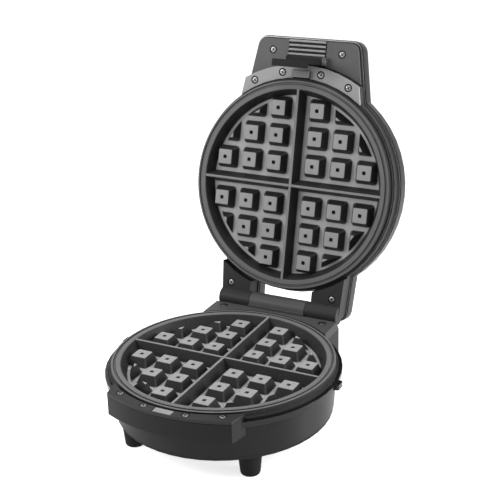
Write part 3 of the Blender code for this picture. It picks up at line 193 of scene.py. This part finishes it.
def glossyShell(name, look):
    # polished moulding or enamel: slow waves, light smears and a few specks of dust
    f = Finish(name)
    waves = f.noise(26, 2, 0.45)
    smears = f.noise(95, 4, 0.65, (1, 0.35, 1)).between(0.48, 0.8)
    dust = f.noise(1500, 1, 0.4).between(0.76, 0.84)
    tone = f.blend(dust * 0.12, look["colour"], shade(look["colour"], 3.0))
    return f.close({
        "Base Color": tone,
        "Roughness": look["roughness"] + smears * 0.05 + dust * 0.1,
        "Specular IOR Level": look["specular"],
        "Anisotropic": look.get("drawn", 0.0),
        "Anisotropic Rotation": 0.25,
        "Normal": f.bump(waves, look["waveDepth"], 0.35),
    })


def nonStick(name, look):
    # a sprayed coating with painted light and shade: flat faces take painted light, its tone set by
    # zone (peg tops, floor, ribs, land, groove), while the sloping walls and the rim past the lip take
    # painted shade
    f = Finish(name)
    facing = f.node("SeparateXYZ", None, {"Vector": f.node("TexCoord", output="Normal")}, output="Z")
    level = f.level()
    reach = f.reach()
    # where painted light goes: faces that look up and lie within the lip; the rest gets painted shade
    flat = facing.between(*look["flatFrom"]) * reach.between(*look["shadedPastLip"])
    speckle = f.noise(2600, 2, 0.6).between(0.42, 0.72)
    cloud = f.noise(55, 4, 0.6)
    # lit and shaded tones of the one coating by height and radius: painted light, brightest on the
    # floor to offset its shade
    lit = f.blend(level.between(*look["topStart"]), look["rib"], look["top"])
    lit = f.blend(level.between(*look["floorStart"]), lit, look["floor"])
    lit = f.blend(reach.between(*look["landStart"]), lit, look["land"])
    # the groove's floor takes a darker painted shade
    grooveShadeMask = level.between(*look["grooveLevel"]) * reach.between(*look["grooveStart"])
    lit = f.blend(grooveShadeMask, lit, look["groove"])
    lit = f.blend(cloud.between(0.3, 0.7) * 0.12, lit, look["wall"])
    # the sloping walls and the rim take the dark tone of painted shade
    tone = f.blend(flat, look["wall"], lit)
    tone = f.blend(speckle * 0.14, tone, shade(look["floor"], 0.62))
    peel = f.noise(900, 2, 0.5)
    return f.close({
        "Base Color": tone,
        "Roughness": look["roughness"] + cloud * 0.08 - speckle * 0.05,
        "Specular IOR Level": look["specular"],
        "Normal": f.bump(peel, 0.00006, 0.5, f.bump(speckle, 0.00002, 0.5)),
    })


def drawnMetal(name, look):
    # brushed or rolled sheet, streaked along one way
    f = Finish(name)
    streaks = f.noise(look["streaks"], 3, 0.6, look["along"])
    cloud = f.noise(45, 3, 0.6)
    tone = f.blend(streaks.between(0.3, 0.7), shade(look["colour"], 0.85), shade(look["colour"], 1.1))
    return f.close({
        "Base Color": tone,
        "Roughness": look["roughness"] + streaks * 0.1 + cloud * 0.05,
        "Metallic": look["metallic"],
        "Normal": f.bump(streaks, 0.00002, 0.4),
    })


def crossedHead(name, look):
    # a screw's grey head on a dark ring that is painted shade of its recess, with painted shade left
    # in the cross
    f = Finish(name)
    level = f.level()
    reach = f.reach()
    # painted shade: the ring round the head and the inside of the cross
    dark = (reach.between(*look["rim"]) + level.between(*look["recess"])).work("MINIMUM", 1)
    turning = f.noise(2500, 3, 0.6, (1, 0.2, 1))
    grey = f.blend(turning.between(0.3, 0.7), shade(look["colour"], 0.85), shade(look["colour"], 1.12))
    return f.close({
        "Base Color": f.blend(dark, grey, look["shadeRing"]),
        "Roughness": look["roughness"] + turning * 0.12,
        "Metallic": 1.0,
        "Normal": f.bump(turning, 0.00002, 0.4),
    })


def softRubber(name, look):
    # matt, with a paler bloom in places
    f = Finish(name)
    grain = f.noise(1800, 2, 0.6)
    bloom = f.noise(60, 3, 0.6).between(0.35, 0.75)
    return f.close({
        "Base Color": f.blend(bloom, look["colour"], look["bloom"]),
        "Roughness": 0.72 + grain * 0.12,
        "Specular IOR Level": 0.15,
        "Normal": f.bump(grain, 0.00004, 0.5),
    })


def firedCeramic(name, look):
    # unglazed and finely pitted
    f = Finish(name)
    grain = f.noise(700, 4, 0.7)
    spots = f.noise(260, 2, 0.5).between(0.6, 0.75)
    return f.close({
        "Base Color": f.blend(spots * 0.5, look["colour"], shade(look["colour"], 0.7)),
        "Roughness": 0.6 + grain * 0.2,
        "Normal": f.bump(grain, 0.00008, 0.4),
    })


def tintedLens(name, look):
    # a coloured lens with a lighter core and a faint glow
    f = Finish(name)
    core = f.noise(420, 2, 0.5)
    return f.close({
        "Base Color": f.blend(core.between(0.3, 0.7), look["colour"], look["light"]),
        "Roughness": 0.09 + core * 0.05,
        "Coat Weight": 0.6,
        "Emission Color": shade(look["light"], 0.12),
        "Emission Strength": 0.3,
        "Normal": f.bump(core, 0.00005, 0.3),
    })


looks = {
    "gripBlack": {"colour": (0.004, 0.004, 0.0043), "roughness": 0.2, "waveDepth": 0.0002,
                  "specular": 0.15},
    "ringBlack": {"colour": (0.006, 0.006, 0.0064), "roughness": 0.18, "waveDepth": 0.0002,
                  "specular": 0.25},
    "drumBlack": {"colour": (0.005, 0.005, 0.0053), "roughness": 0.4, "waveDepth": 0.0003,
                  "specular": 0.2, "drawn": 0.85},
    "coverBlack": {"colour": (0.006, 0.006, 0.0064), "roughness": 0.3, "waveDepth": 0.0003,
                   "specular": 0.08},
    "retainerBlack": {"colour": (0.012, 0.012, 0.0125), "roughness": 0.35, "grain": 1400,
                      "grainDepth": 0.00004, "specular": 0.22},
    "blockBlack": {"colour": (0.008, 0.008, 0.0085), "roughness": 0.48, "grain": 1300,
                   "grainDepth": 0.00005, "specular": 0.16},
    "platformGrey": {"colour": (0.05, 0.05, 0.0515), "roughness": 0.42, "grain": 1300,
                     "grainDepth": 0.00005, "specular": 0.2},
    "frameGrey": {"colour": (0.026, 0.026, 0.027), "roughness": 0.42, "grain": 1300,
                  "grainDepth": 0.00005, "specular": 0.1},
    "panelGrey": {"colour": (0.08, 0.08, 0.0815), "roughness": 0.45, "grain": 1300,
                  "grainDepth": 0.00005, "specular": 0.2},
    "crescentGrey": {"colour": (0.25, 0.25, 0.252), "roughness": 0.4, "grain": 1500,
                     "grainDepth": 0.00004, "specular": 0.3},
    "insertGrey": {"colour": (0.26, 0.26, 0.262), "roughness": 0.4, "grain": 1500,
                   "grainDepth": 0.00004, "specular": 0.3},
    "latchBlack": {"colour": (0.012, 0.012, 0.0125), "roughness": 0.4, "grain": 1300,
                   "grainDepth": 0.00005, "specular": 0.08},
    "capGrey": {"colour": (0.15, 0.15, 0.152), "roughness": 0.4, "grain": 1300,
                "grainDepth": 0.00005, "specular": 0.25},
    "buttonGrey": {"colour": (0.22, 0.22, 0.224), "roughness": 0.38, "grain": 1500,
                   "grainDepth": 0.00004, "specular": 0.3},
    # the coating's tones are painted light and shade: top, floor, rib, land and groove are lit tones
    # of one coating, and wall is painted shade
    "coating": {"top": (0.29, 0.29, 0.293), "floor": (0.39, 0.39, 0.394),
                "rib": (0.21, 0.21, 0.212), "land": (0.13, 0.13, 0.132),
                "groove": (0.11, 0.11, 0.111), "wall": (0.012, 0.012, 0.0125),
                "roughness": 0.45, "specular": 0.12,
                # from and to: how far a face looks up, then heights and radii of the plate
                "flatFrom": (0.45, 0.93), "shadedPastLip": (0.0967, 0.0963), "topStart": (-0.0003, -0.0011),
                "floorStart": (-0.006, -0.0095), "landStart": (0.0883, 0.0887),
                "grooveLevel": (-0.0004, -0.001), "grooveStart": (0.0905, 0.0915)},
    "trim": {"colour": (0.16, 0.16, 0.162), "roughness": 0.3, "streaks": 700, "along": (1, 1, 0.1),
             "metallic": 1.0},
    # the dark ring round the head and the dark inside of the cross are painted shade
    "screwHead": {"colour": (0.24, 0.24, 0.243), "shadeRing": (0.008, 0.008, 0.008), "roughness": 0.34,
                  "rim": (0.0026 - 0.00002, 0.0026 + 0.00006),
                  "recess": (-0.00038, -0.00038 - 0.0001)},
    "springSteel": {"colour": (0.4, 0.4, 0.405), "roughness": 0.3, "streaks": 2500,
                    "along": (1, 0.2, 1), "metallic": 1.0},
    "elementSteel": {"colour": (0.16, 0.15, 0.145), "roughness": 0.5, "streaks": 500,
                     "along": (1, 1, 1), "metallic": 0.8},
    "sheetAluminium": {"colour": (0.62, 0.62, 0.63), "roughness": 0.3, "streaks": 600,
                       "along": (1, 0.05, 1), "metallic": 1.0},
    "rubber": {"colour": (0.007, 0.007, 0.007), "bloom": (0.014, 0.014, 0.0145)},
    "ceramic": {"colour": (0.62, 0.59, 0.52)},
    "redLens": {"colour": (0.35, 0.012, 0.01), "light": (0.75, 0.05, 0.03)},
    "greenLens": {"colour": (0.012, 0.28, 0.04), "light": (0.05, 0.65, 0.12)},
}
makers = {
    glossyShell: ("gripBlack", "ringBlack", "drumBlack", "coverBlack"),
    mouldedPlastic: ("retainerBlack", "blockBlack", "platformGrey", "frameGrey", "panelGrey",
                     "crescentGrey", "insertGrey", "latchBlack", "capGrey", "buttonGrey"),
    nonStick: ("coating",),
    drawnMetal: ("trim", "springSteel", "elementSteel", "sheetAluminium"),
    crossedHead: ("screwHead",),
    softRubber: ("rubber",),
    firedCeramic: ("ceramic",),
    tintedLens: ("redLens", "greenLens"),
}
finishes = {name: maker(name, looks[name]) for maker, names in makers.items() for name in names}
print("finishes mixed:", len(finishes))


# Mesh tools

def newPiece(name, bm, finish):
    mesh = bpy.data.meshes.new(name)
    bmesh.ops.recalc_face_normals(bm, faces=bm.faces)
    bm.to_mesh(mesh)
    bm.free()
    piece = bpy.data.objects.new(name, mesh)
    bpy.context.scene.collection.objects.link(piece)
    mesh.materials.append(finishes[finish])
    return piece


def copied(form, name, place):
    piece = form.copy()
    piece.data = form.data.copy()
    piece.name = name
    bpy.context.scene.collection.objects.link(piece)
    piece.matrix_world = place
    return piece


def loft(bm, rings):
    # a skin over rings of equal count, closed at both ends
    made = [[bm.verts.new(p) for p in ring] for ring in rings]
    count = len(made[0])
    for first, second in zip(made, made[1:]):
        for i in range(count):
            j = (i + 1) % count
            bm.faces.new((first[i], first[j], second[j], second[i]))
    bm.faces.new(made[0][::-1])
    bm.faces.new(made[-1])


def turned(bm, profile, segments):
    # a profile of (radius, height) turned about Z; both its ends lie on the axis
    rings = []
    for radius, height in profile:
        if radius == 0:
            rings.append([bm.verts.new((0, 0, height))])
        else:
            rings.append([bm.verts.new((radius * math.cos(2 * math.pi * i / segments),
                                        radius * math.sin(2 * math.pi * i / segments), height))
                          for i in range(segments)])
    for first, second in zip(rings, rings[1:]):
        for i in range(segments):
            j = (i + 1) % segments
            if len(first) == 1:
                bm.faces.new((first[0], second[j], second[i]))
            elif len(second) == 1:
                bm.faces.new((first[i], first[j], second[0]))
            else:
                bm.faces.new((first[i], first[j], second[j], second[i]))


def roundedSquare(x, y, half, corner, height, steps):
    # a square ring about (x, y) with a rounded corner in each quarter
    ring = []
    inset = half - corner
    for quarter in range(4):
        turn = math.pi / 2 * quarter
        base = Vector((inset if quarter in (0, 3) else -inset, inset if quarter in (0, 1) else -inset))
        for i in range(steps + 1):
            angle = turn + math.pi / 2 * i / steps
            ring.append((x + base.x + corner * math.cos(angle),
                         y + base.y + corner * math.sin(angle), height))
    return ring


def applied(piece):
    # the piece with its modifiers worked into its mesh
    bpy.context.view_layer.update()
    graph = bpy.context.evaluated_depsgraph_get()
    mesh = bpy.data.meshes.new_from_object(piece.evaluated_get(graph))
    piece.modifiers.clear()
    piece.data = mesh
    return piece


def combined(piece, other, operation):
    # the piece joined with, cut by or kept within the other, which is used up
    joint = piece.modifiers.new("join", "BOOLEAN")
    joint.operation = operation
    joint.solver = "EXACT"
    joint.object = other
    applied(piece)
    bpy.data.objects.remove(other)


easing = {
    "weld": 0.000002,
    "flatWithin": 0.4,      # degrees between faces that are one flat
    "roundFrom": 30,        # degrees at an edge that is rounded
    "crease": 50,           # degrees at an edge that stays sharp in the shading
    "weight": 60,
}


def eased(piece, crease, width=0, steps=1):
    # small round edges where a width is given, with flat faces kept flat in the shading
    if width:
        edge = piece.modifiers.new("edge", "BEVEL")
        edge.width = width
        edge.segments = steps
        edge.limit_method = "ANGLE"
        edge.angle_limit = math.radians(easing["roundFrom"])
        edge.miter_outer = "MITER_ARC"
        edge.use_clamp_overlap = True
        applied(piece)
    for polygon in piece.data.polygons:
        polygon.use_smooth = True
    piece.data.set_sharp_from_angle(angle=math.radians(crease))
    even = piece.modifiers.new("even", "WEIGHTED_NORMAL")
    even.mode = "FACE_AREA"
    even.weight = easing["weight"]
    even.keep_sharp = True
    return applied(piece)


def settle(piece, standsFor):
    # the piece rides with the body of the node that it stands for
    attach(piece, bodyOf[standsFor])
    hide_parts(standsFor)
    return piece


def dressed(node, finish, width, steps):
    # a node's own form, welded and given round edges
    bm = bmesh.new()
    bm.from_mesh(nodes[node].data)
    bmesh.ops.remove_doubles(bm, verts=bm.verts, dist=easing["weld"])
    flat = math.radians(easing["flatWithin"])
    bmesh.ops.dissolve_limit(bm, angle_limit=flat, verts=bm.verts, edges=bm.edges)
    piece = newPiece("dressed_" + node, bm, finish)
    return settle(eased(piece, easing["crease"], width, steps), node)


# Cooking plates: one form, used above and below

plate = {
    "cavityRadius": 0.0885,
    "cavityDepth": 0.01105,
    "cavityDraft": 0.0051,
    "floor": 0.0025,
    "groove": (0.0928, 0.0947, 0.0012),      # start, end, depth
    "lipRadius": 0.0966,
    "flangeRadius": 0.0986,
    "flange": (0.005, 0.0073),               # top and back, below the mating face
    "belly": (0.0066, 0.006),                # inset from the flange, and its draft
    "segments": 168,
    "crease": 33,
    "lowerFace": 0.06505,                    # heights of the mating faces with the lid shut
    "upperFace": 0.06555,
}
pegs = {
    "pitch": 0.0255,
    "first": 0.01944,
    "top": 0.0136,
    "base": 0.021,
    "height": 0.0088,
    "corner": (0.0012, 0.0027),     # at the top and at the root
    "cornerSteps": 4,
    "full": [(c, r) for r, count in enumerate((3, 2, 1), 1) for c in range(1, count + 1)],
    "cut": [(3, 2), (2, 3)],        # column and row of those that the cavity's round trims
    "cutBase": 0.081,               # radius that trims them, at the floor and at the top
    "cutTop": 0.077,
    "cutSegments": 120,
    # radius and drop
    "dimple": ((0.0022, 0), (0.0019, -0.0003), (0.0012, -0.0016), (0.0002, -0.0034)),
}
ribs = {"top": 0.0022, "base": 0.01, "drop": 0.0002}
root = 0.0012                       # how far pegs and ribs reach into the floor


def plateProfile():
    # from the middle of the cavity out over the rim to the middle of the back;
    # the small steps round its corners
    p = plate
    depth = p["cavityDepth"]
    floorRadius = p["cavityRadius"] - p["cavityDraft"]
    start, end, groove = p["groove"]
    flangeTop, flangeBack = p["flange"]
    bellyInset, bellyDraft = p["belly"]
    bellyTop = p["flangeRadius"] - bellyInset
    back = -depth - p["floor"]
    return [
        (0, -depth),
        (floorRadius - 0.0009, -depth),
        (floorRadius - 0.0002, -depth + 0.0003),
        (floorRadius + 0.0003, -depth + 0.0009),
        (p["cavityRadius"] - 0.0003, -0.0008),
        (p["cavityRadius"] - 0.00005, -0.0003),
        (p["cavityRadius"] + 0.0004, 0),
        (start - 0.0003, 0),
        (start, -0.0003),
        (start + 0.0001, -groove + 0.0002),
        (start + 0.0003, -groove),
        (end - 0.0003, -groove),
        (end - 0.0001, -groove + 0.0002),
        (end, -0.0003),
        (end + 0.0003, 0),
        (p["lipRadius"] - 0.0005, 0),
        (p["lipRadius"] - 0.0001, -0.0002),
        (p["lipRadius"], -0.0006),
        (p["lipRadius"], -flangeTop + 0.0004),
        (p["lipRadius"] + 0.0004, -flangeTop),
        (p["flangeRadius"] - 0.0003, -flangeTop),
        (p["flangeRadius"], -flangeTop - 0.0003),
        (p["flangeRadius"], -flangeBack + 0.0003),
        (p["flangeRadius"] - 0.0003, -flangeBack),
        (bellyTop, -flangeBack),
        (bellyTop - bellyDraft, back),
        (0, back),
    ]


def pegRings(x, y, dimple):
    # outlines of one peg from under the floor to its top, and on down into its dimple
    p = pegs
    floor = -plate["cavityDepth"]
    top = floor + p["height"]
    slope = (p["base"] - p["top"]) / 2 / p["height"]

    def half(height):
        return p["top"] / 2 + slope * (top - height)

    levels = [
        (floor - root, half(floor) + 0.0012),
        (floor - 0.0001, half(floor) + 0.0009),
        (floor + 0.0002, half(floor + 0.0002) + 0.0003),
        (floor + 0.0008, half(floor + 0.0008)),
        (top - 0.0005, half(top - 0.0005)),
        (top - 0.00015, half(top) - 0.0001),
        (top, half(top) - 0.0005),
    ]
    sharp, blunt = p["corner"]
    rings = []
    for height, size in levels:
        corner = sharp + (blunt - sharp) * (top - height) / p["height"]
        rings.append(roundedSquare(x, y, size, corner, height, p["cornerSteps"]))
    if dimple:
        outward = [Vector((px - x, py - y)).normalized() for px, py, _ in rings[0]]
        for reach, drop in p["dimple"]:
            spots = [way * reach for way in outward]
            rings.append([(x + spot.x, y + spot.y, top + drop) for spot in spots])
    return rings


def pegPlaces(which):
    # the given columns and rows, mirrored into all four quarters
    spots = []
    for column, row in which:
        u = pegs["first"] + pegs["pitch"] * (column - 1)
        v = pegs["first"] + pegs["pitch"] * (row - 1)
        spots += [(u * a, v * b) for a in (1, -1) for b in (1, -1)]
    return sorted(spots)


def ribMesh(turn):
    # one rib through the middle, from wall to wall
    floor = -plate["cavityDepth"]
    slope = (ribs["base"] - ribs["top"]) / 2 / plate["cavityDepth"]
    reach = plate["cavityRadius"] + 0.001
    short = reach - plate["cavityDraft"]
    top = -ribs["drop"]

    def across(height):
        return ribs["top"] / 2 - slope * height

    levels = [
        # height, half the width, half the length
        (floor - root, across(floor) + 0.0016, short),
        (floor - 0.0001, across(floor) + 0.0009, short),
        (floor + 0.0002, across(floor) + 0.0003, short),
        (floor + 0.0008, across(floor + 0.0008), short),
        (top - 0.0004, across(-0.0006), reach),
        (top - 0.0001, across(0) - 0.0001, reach),
        (top, across(0) - 0.0004, reach),
    ]
    rotation = Matrix.Rotation(turn, 3, "Z")
    bm = bmesh.new()
    section = [(w, h, r) for h, w, r in levels] + [(-w, h, r) for h, w, r in reversed(levels)]
    rings = [[rotation @ Vector((end * r, w, h)) for w, h, r in section] for end in (-1, 1)]
    loft(bm, rings)
    return newPiece("rib", bm, "coating")


def platePiece():
    # ribs first, then the whole pegs, then those that the cavity's round trims
    bm = bmesh.new()
    turned(bm, plateProfile(), plate["segments"])
    whole = newPiece("plateForm", bm, "coating")
    combined(whole, ribMesh(0), "UNION")
    combined(whole, ribMesh(math.pi / 2), "UNION")
    bm = bmesh.new()
    for x, y in pegPlaces(pegs["full"]):
        loft(bm, pegRings(x, y, True))
    combined(whole, newPiece("fullPegs", bm, "coating"), "UNION")
    bm = bmesh.new()
    for x, y in pegPlaces(pegs["cut"]):
        loft(bm, pegRings(x, y, False))
    cutPegs = newPiece("cutPegs", bm, "coating")
    bm = bmesh.new()
    low = -plate["cavityDepth"] - 0.003
    top = -plate["cavityDepth"] + pegs["height"]
    above = 0.002
    slope = (pegs["cutBase"] - pegs["cutTop"]) / pegs["height"]
    turned(bm, [
        (0, low),
        (pegs["cutTop"] + slope * (top - low), low),
        (pegs["cutTop"] - slope * above, top + above),
        (0, top + above),
    ], pegs["cutSegments"])
    combined(cutPegs, newPiece("cone", bm, "coating"), "INTERSECT")
    combined(whole, cutPegs, "UNION")
    return eased(whole, plate["crease"])


lowerPlace = basePlace @ Matrix.Translation((0, 0, plate["lowerFace"]))
upperPlace = lidPlace @ Matrix.Translation((0, 0, plate["upperFace"])) @ halfTurn
plateMade = platePiece()
for side, place in (("lower", lowerPlace), ("upper", upperPlace)):
    settle(copied(plateMade, "griddle_" + side, place), side + "_plate")
bpy.data.objects.remove(plateMade)
print("plates pressed")


# Base, lid and hinge: the frame's own forms with eased edges

shells = {
    # finish, width of the round edges, steps in them
    "base_drum": ("drumBlack", 0.0006, 3),
    "bottom_cover": ("blockBlack", 0.0005, 2),
    "rim_ring": ("ringBlack", 0.0007, 3),
    "front_grip": ("gripBlack", 0.0009, 3),
    "lower_retainer": ("retainerBlack", 0.0005, 2),
    "rear_block": ("blockBlack", 0.0008, 3),
    "hinge_platform": ("platformGrey", 0.0005, 2),
    "hinge_pin": ("springSteel", 0.0003, 2),
    "cord_gland": ("rubber", 0.0004, 2),
    "front_left_foot": ("rubber", 0.0006, 3),
    "front_right_foot": ("rubber", 0.0006, 3),
    "rear_left_foot": ("rubber", 0.0006, 3),
    "rear_right_foot": ("rubber", 0.0006, 3),
    "lower_plate_release": ("buttonGrey", 0.0004, 2),
    "lid_frame": ("frameGrey", 0.0005, 2),
    "lid_trim": ("trim", 0.0002, 2),
    "lid_cover": ("coverBlack", 0.0005, 2),
    "upper_retainer": ("crescentGrey", 0.0005, 2),
    "handle_panel": ("panelGrey", 0.0005, 2),
    "grip_insert": ("insertGrey", 0.0005, 3),
    "upper_plate_release": ("capGrey", 0.0004, 2),
    "lid_latch": ("latchBlack", 0.0004, 2),
    "latch_pin": ("springSteel", 0.0002, 2),
    "power_lens": ("redLens", 0.0003, 3),
    "ready_lens": ("greenLens", 0.0003, 3),
}
worn = {node: dressed(node, finish, width, steps) for node, (finish, width, steps) in shells.items()}

# faces lying deeper than gapDepth behind the insert's front, between its ribs, take the black finish
gapDepth = 0.0016
outward = lidPlace.to_3x3() @ Vector((0, 0, -1))
insert = worn["grip_insert"].data
insert.materials.append(finishes["blockBlack"])
front = max(v.co.dot(outward) for v in insert.vertices)
for polygon in insert.polygons:
    if front - polygon.center.dot(outward) > gapDepth:
        polygon.material_index = 1
print("shells dressed:", len(worn))

# what stays as the frame has it and is only painted
inner = {
    "lower_reflector": "sheetAluminium",
    "upper_reflector": "sheetAluminium",
    "lower_heating_element": "elementSteel",
    "upper_heating_element": "elementSteel",
    "lower_thermostat": "sheetAluminium",
    "upper_thermostat": "sheetAluminium",
    "lower_release_spring": "springSteel",
    "upper_release_spring": "springSteel",
    "thermal_fuse": "ceramic",
    "terminal_block": "ceramic",
}
for node, finish in inner.items():
    nodes[node].data.materials.clear()
    nodes[node].data.materials.append(finishes[finish])
print("inner pieces painted:", len(inner))


# Screws with a cross recess

screw = {
    "head": 0.0026,             # radii of the head, the dark ring of painted shade round it, the hole and the shank
    "shadeRing": 0.0037,
    "hole": 0.0028,
    "shank": 0.0013,
    "shadeRingProud": 0.00012,
    "shadeRingBack": 0.00001,      # just clear of the face that it lies on
    "groove": 0.00035,          # between head and washer
    "seat": 0.0012,
    "length": 0.0067,
    "crown": 0.00016,
    "armWidth": 0.0009,
    "armLength": 0.004,
    "crossDepth": 0.0012,
    "cross": ((0.4, 0.9, 0.9), (1.0, 0.35, 0.6)),      # shares of its depth, length and width
    "segments": 40,
    "crease": 40,
    "spin": 1.1,                # each cross stands this much further round than the last
}


def screwForm():
    s = screw
    bm = bmesh.new()
    turned(bm, [
        (0, s["crown"]),
        (s["head"] * 0.5, s["crown"] * 0.8),
        (s["head"] * 0.85, s["crown"] * 0.2),
        (s["head"] - 0.0001, -0.0001),
        (s["head"], -s["groove"]),
        # the dark ring round the head, standing proud, is painted shade of the screw's recess
        (s["head"] + 0.0002, -s["groove"]),
        (s["head"] + 0.0003, s["shadeRingProud"]),
        (s["shadeRing"] - 0.0001, s["shadeRingProud"]),
        (s["shadeRing"], s["shadeRingProud"] - 0.0001),
        (s["shadeRing"], s["shadeRingBack"]),
        (s["hole"], s["shadeRingBack"]),
        (s["hole"], -s["seat"]),
        (s["shank"], -s["seat"]),
        (s["shank"], -s["length"] + 0.0005),
        (s["shank"] * 0.6, -s["length"]),
        (0, -s["length"]),
    ], s["segments"])
    head = newPiece("screwForm", bm, "screwHead")
    for turn in (0, math.pi / 2):
        rotation = Matrix.Rotation(turn, 3, "Z")
        levels = [(0.001, 1.0, 1.0)]
        levels += [(-s["crossDepth"] * deep, long, wide) for deep, long, wide in s["cross"]]
        rings = []
        for height, long, wide in levels:
            a = s["armLength"] / 2 * long
            b = s["armWidth"] / 2 * wide
            corners = ((a, b), (-a, b), (-a, -b), (a, -b))
            rings.append([rotation @ Vector((x, y, height)) for x, y in corners])
        bm = bmesh.new()
        loft(bm, rings)
        combined(head, newPiece("cross", bm, "screwHead"), "DIFFERENCE")
    return eased(head, s["crease"])


def screwPlaces():
    # each screw, where its body stands, and 1 or -1 as its head looks up or down there
    for name in sorted(nodes):
        if name.startswith(("lower_retainer_screw", "platform_screw")):
            yield name, basePlace, 1
        elif name.startswith("foot_screw"):
            yield name, basePlace, -1
        elif name.startswith(("upper_retainer_screw", "panel_screw", "arm_screw")):
            yield name, lidPlace, -1


def localSpan(node, place):
    # lowest and highest corner of a node, seen from its body's place
    homeward = place.inverted()
    points = [homeward @ v.co for v in nodes[node].data.vertices]
    return (Vector([min(p[i] for p in points) for i in range(3)]),
            Vector([max(p[i] for p in points) for i in range(3)]))


screwMade = screwForm()
turns = 0
for name, place, way in screwPlaces():
    low, high = localSpan(name, place)
    middle = (low + high) / 2
    top = high.z if way > 0 else low.z
    turns += 1
    spin = Matrix.Rotation(turns * screw["spin"], 4, "Z")
    where = place @ Matrix.Translation((middle.x, middle.y, top))
    where = where @ (spin if way > 0 else halfTurn @ spin)
    settle(copied(screwMade, "crossed_" + name, where), name)
bpy.data.objects.remove(screwMade)
print("screws set:", turns)


# Floor, light and camera

studio = {
    "floorRadius": 3.0,
    "floorSides": 64,
    "floorDepth": 0.01,
    "floorTones": (0.79, 0.81),
    "floorGlow": 0.74,
    "worldLight": 0.34,         # as it lights the pieces
    "worldSeen": 1.0,           # as the camera and the reflections see it
    "seenBy": ("Camera", "Glossy", "Transmission"),
    "lamps": [
        # name, place, aimed at, width, height, power
        ("keySoft", (-0.6, -0.6, 0.62), (0, 0, 0.14), 0.45, 0.45, 6.5),
        ("sideStrip", (0.9, 0.25, 0.42), (0, -0.03, 0.08), 0.22, 0.7, 10),
        ("topSoft", (0.1, 0.1, 1.3), (0, 0, 0.1), 0.8, 0.8, 9),
    ],
}


def floorFinish():
    # a matt floor that glows for the camera and in reflections only
    f = Finish("paleFloor")
    tone = f.blend(f.noise(9, 2, 0.5), *studio["floorTones"])
    matt = {"Base Color": tone, "Roughness": 0.9, "Specular IOR Level": 0.1}
    glowing = {**matt, "Emission Color": (1, 1, 1), "Emission Strength": studio["floorGlow"]}
    mixed = f.node("MixShader", None, {
        0: f.seenBy(*studio["seenBy"]),
        1: f.node("BsdfPrincipled", None, matt),
        2: f.node("BsdfPrincipled", None, glowing),
    })
    f.node("OutputMaterial", None, {"Surface": mixed})
    return f.material


def circle(radius, sides, height):
    turns = [2 * math.pi * i / sides for i in range(sides)]
    return [(radius * math.cos(turn), radius * math.sin(turn), height) for turn in turns]


bm = bmesh.new()
loft(bm, [circle(studio["floorRadius"], studio["floorSides"], height)
          for height in (-studio["floorDepth"], 0)])
finishes["paleFloor"] = floorFinish()
floor = newPiece("paleFloor", bm, "paleFloor")

world = bpy.data.worlds.new("studio")
bpy.context.scene.world = world
air = Board(world)
mixed = air.node("MixShader", None, {
    0: air.seenBy(*studio["seenBy"]),
    1: air.node("Background", None, {"Color": (1, 1, 1), "Strength": studio["worldLight"]}),
    2: air.node("Background", None, {"Color": (1, 1, 1), "Strength": studio["worldSeen"]}),
})
air.node("OutputWorld", None, {"Surface": mixed})

for name, spot, aim, width, height, power in studio["lamps"]:
    lamp = bpy.data.lights.new(name, "AREA")
    lamp.shape = "RECTANGLE"
    lamp.size = width
    lamp.size_y = height
    lamp.energy = power
    holder = bpy.data.objects.new(name, lamp)
    bpy.context.scene.collection.objects.link(holder)
    holder.location = spot
    holder.rotation_euler = (Vector(spot) - Vector(aim)).to_track_quat("Z", "Y").to_euler()

camera = {"azimuth": 26.97, "elevation": 21.38, "roll": -1.41, "distance": 0.92631,
          "target": (0.02803, 0, 0.168), "lens": 81.63, "sensor": 36}
azimuth, elevation, roll = (math.radians(camera[k]) for k in ("azimuth", "elevation", "roll"))
back = Vector((math.sin(azimuth) * math.cos(elevation), -math.cos(azimuth) * math.cos(elevation),
               math.sin(elevation)))
right = Vector((math.cos(azimuth), math.sin(azimuth), 0))
up = back.cross(right)
acrossView = right * math.cos(roll) + up * math.sin(roll)
upView = up * math.cos(roll) - right * math.sin(roll)
eye = Vector(camera["target"]) + baseShift + back * camera["distance"]
lens = bpy.data.cameras.new("camera")
lens.lens = camera["lens"]
lens.sensor_width = camera["sensor"]
view = bpy.data.objects.new("camera", lens)
bpy.context.scene.collection.objects.link(view)
view.matrix_world = Matrix((
    (acrossView.x, upView.x, back.x, eye.x),
    (acrossView.y, upView.y, back.y, eye.y),
    (acrossView.z, upView.z, back.z, eye.z),
    (0, 0, 0, 1),
))
bpy.context.scene.camera = view
bpy.context.scene.view_settings.view_transform = "Standard"
print("studio lit")
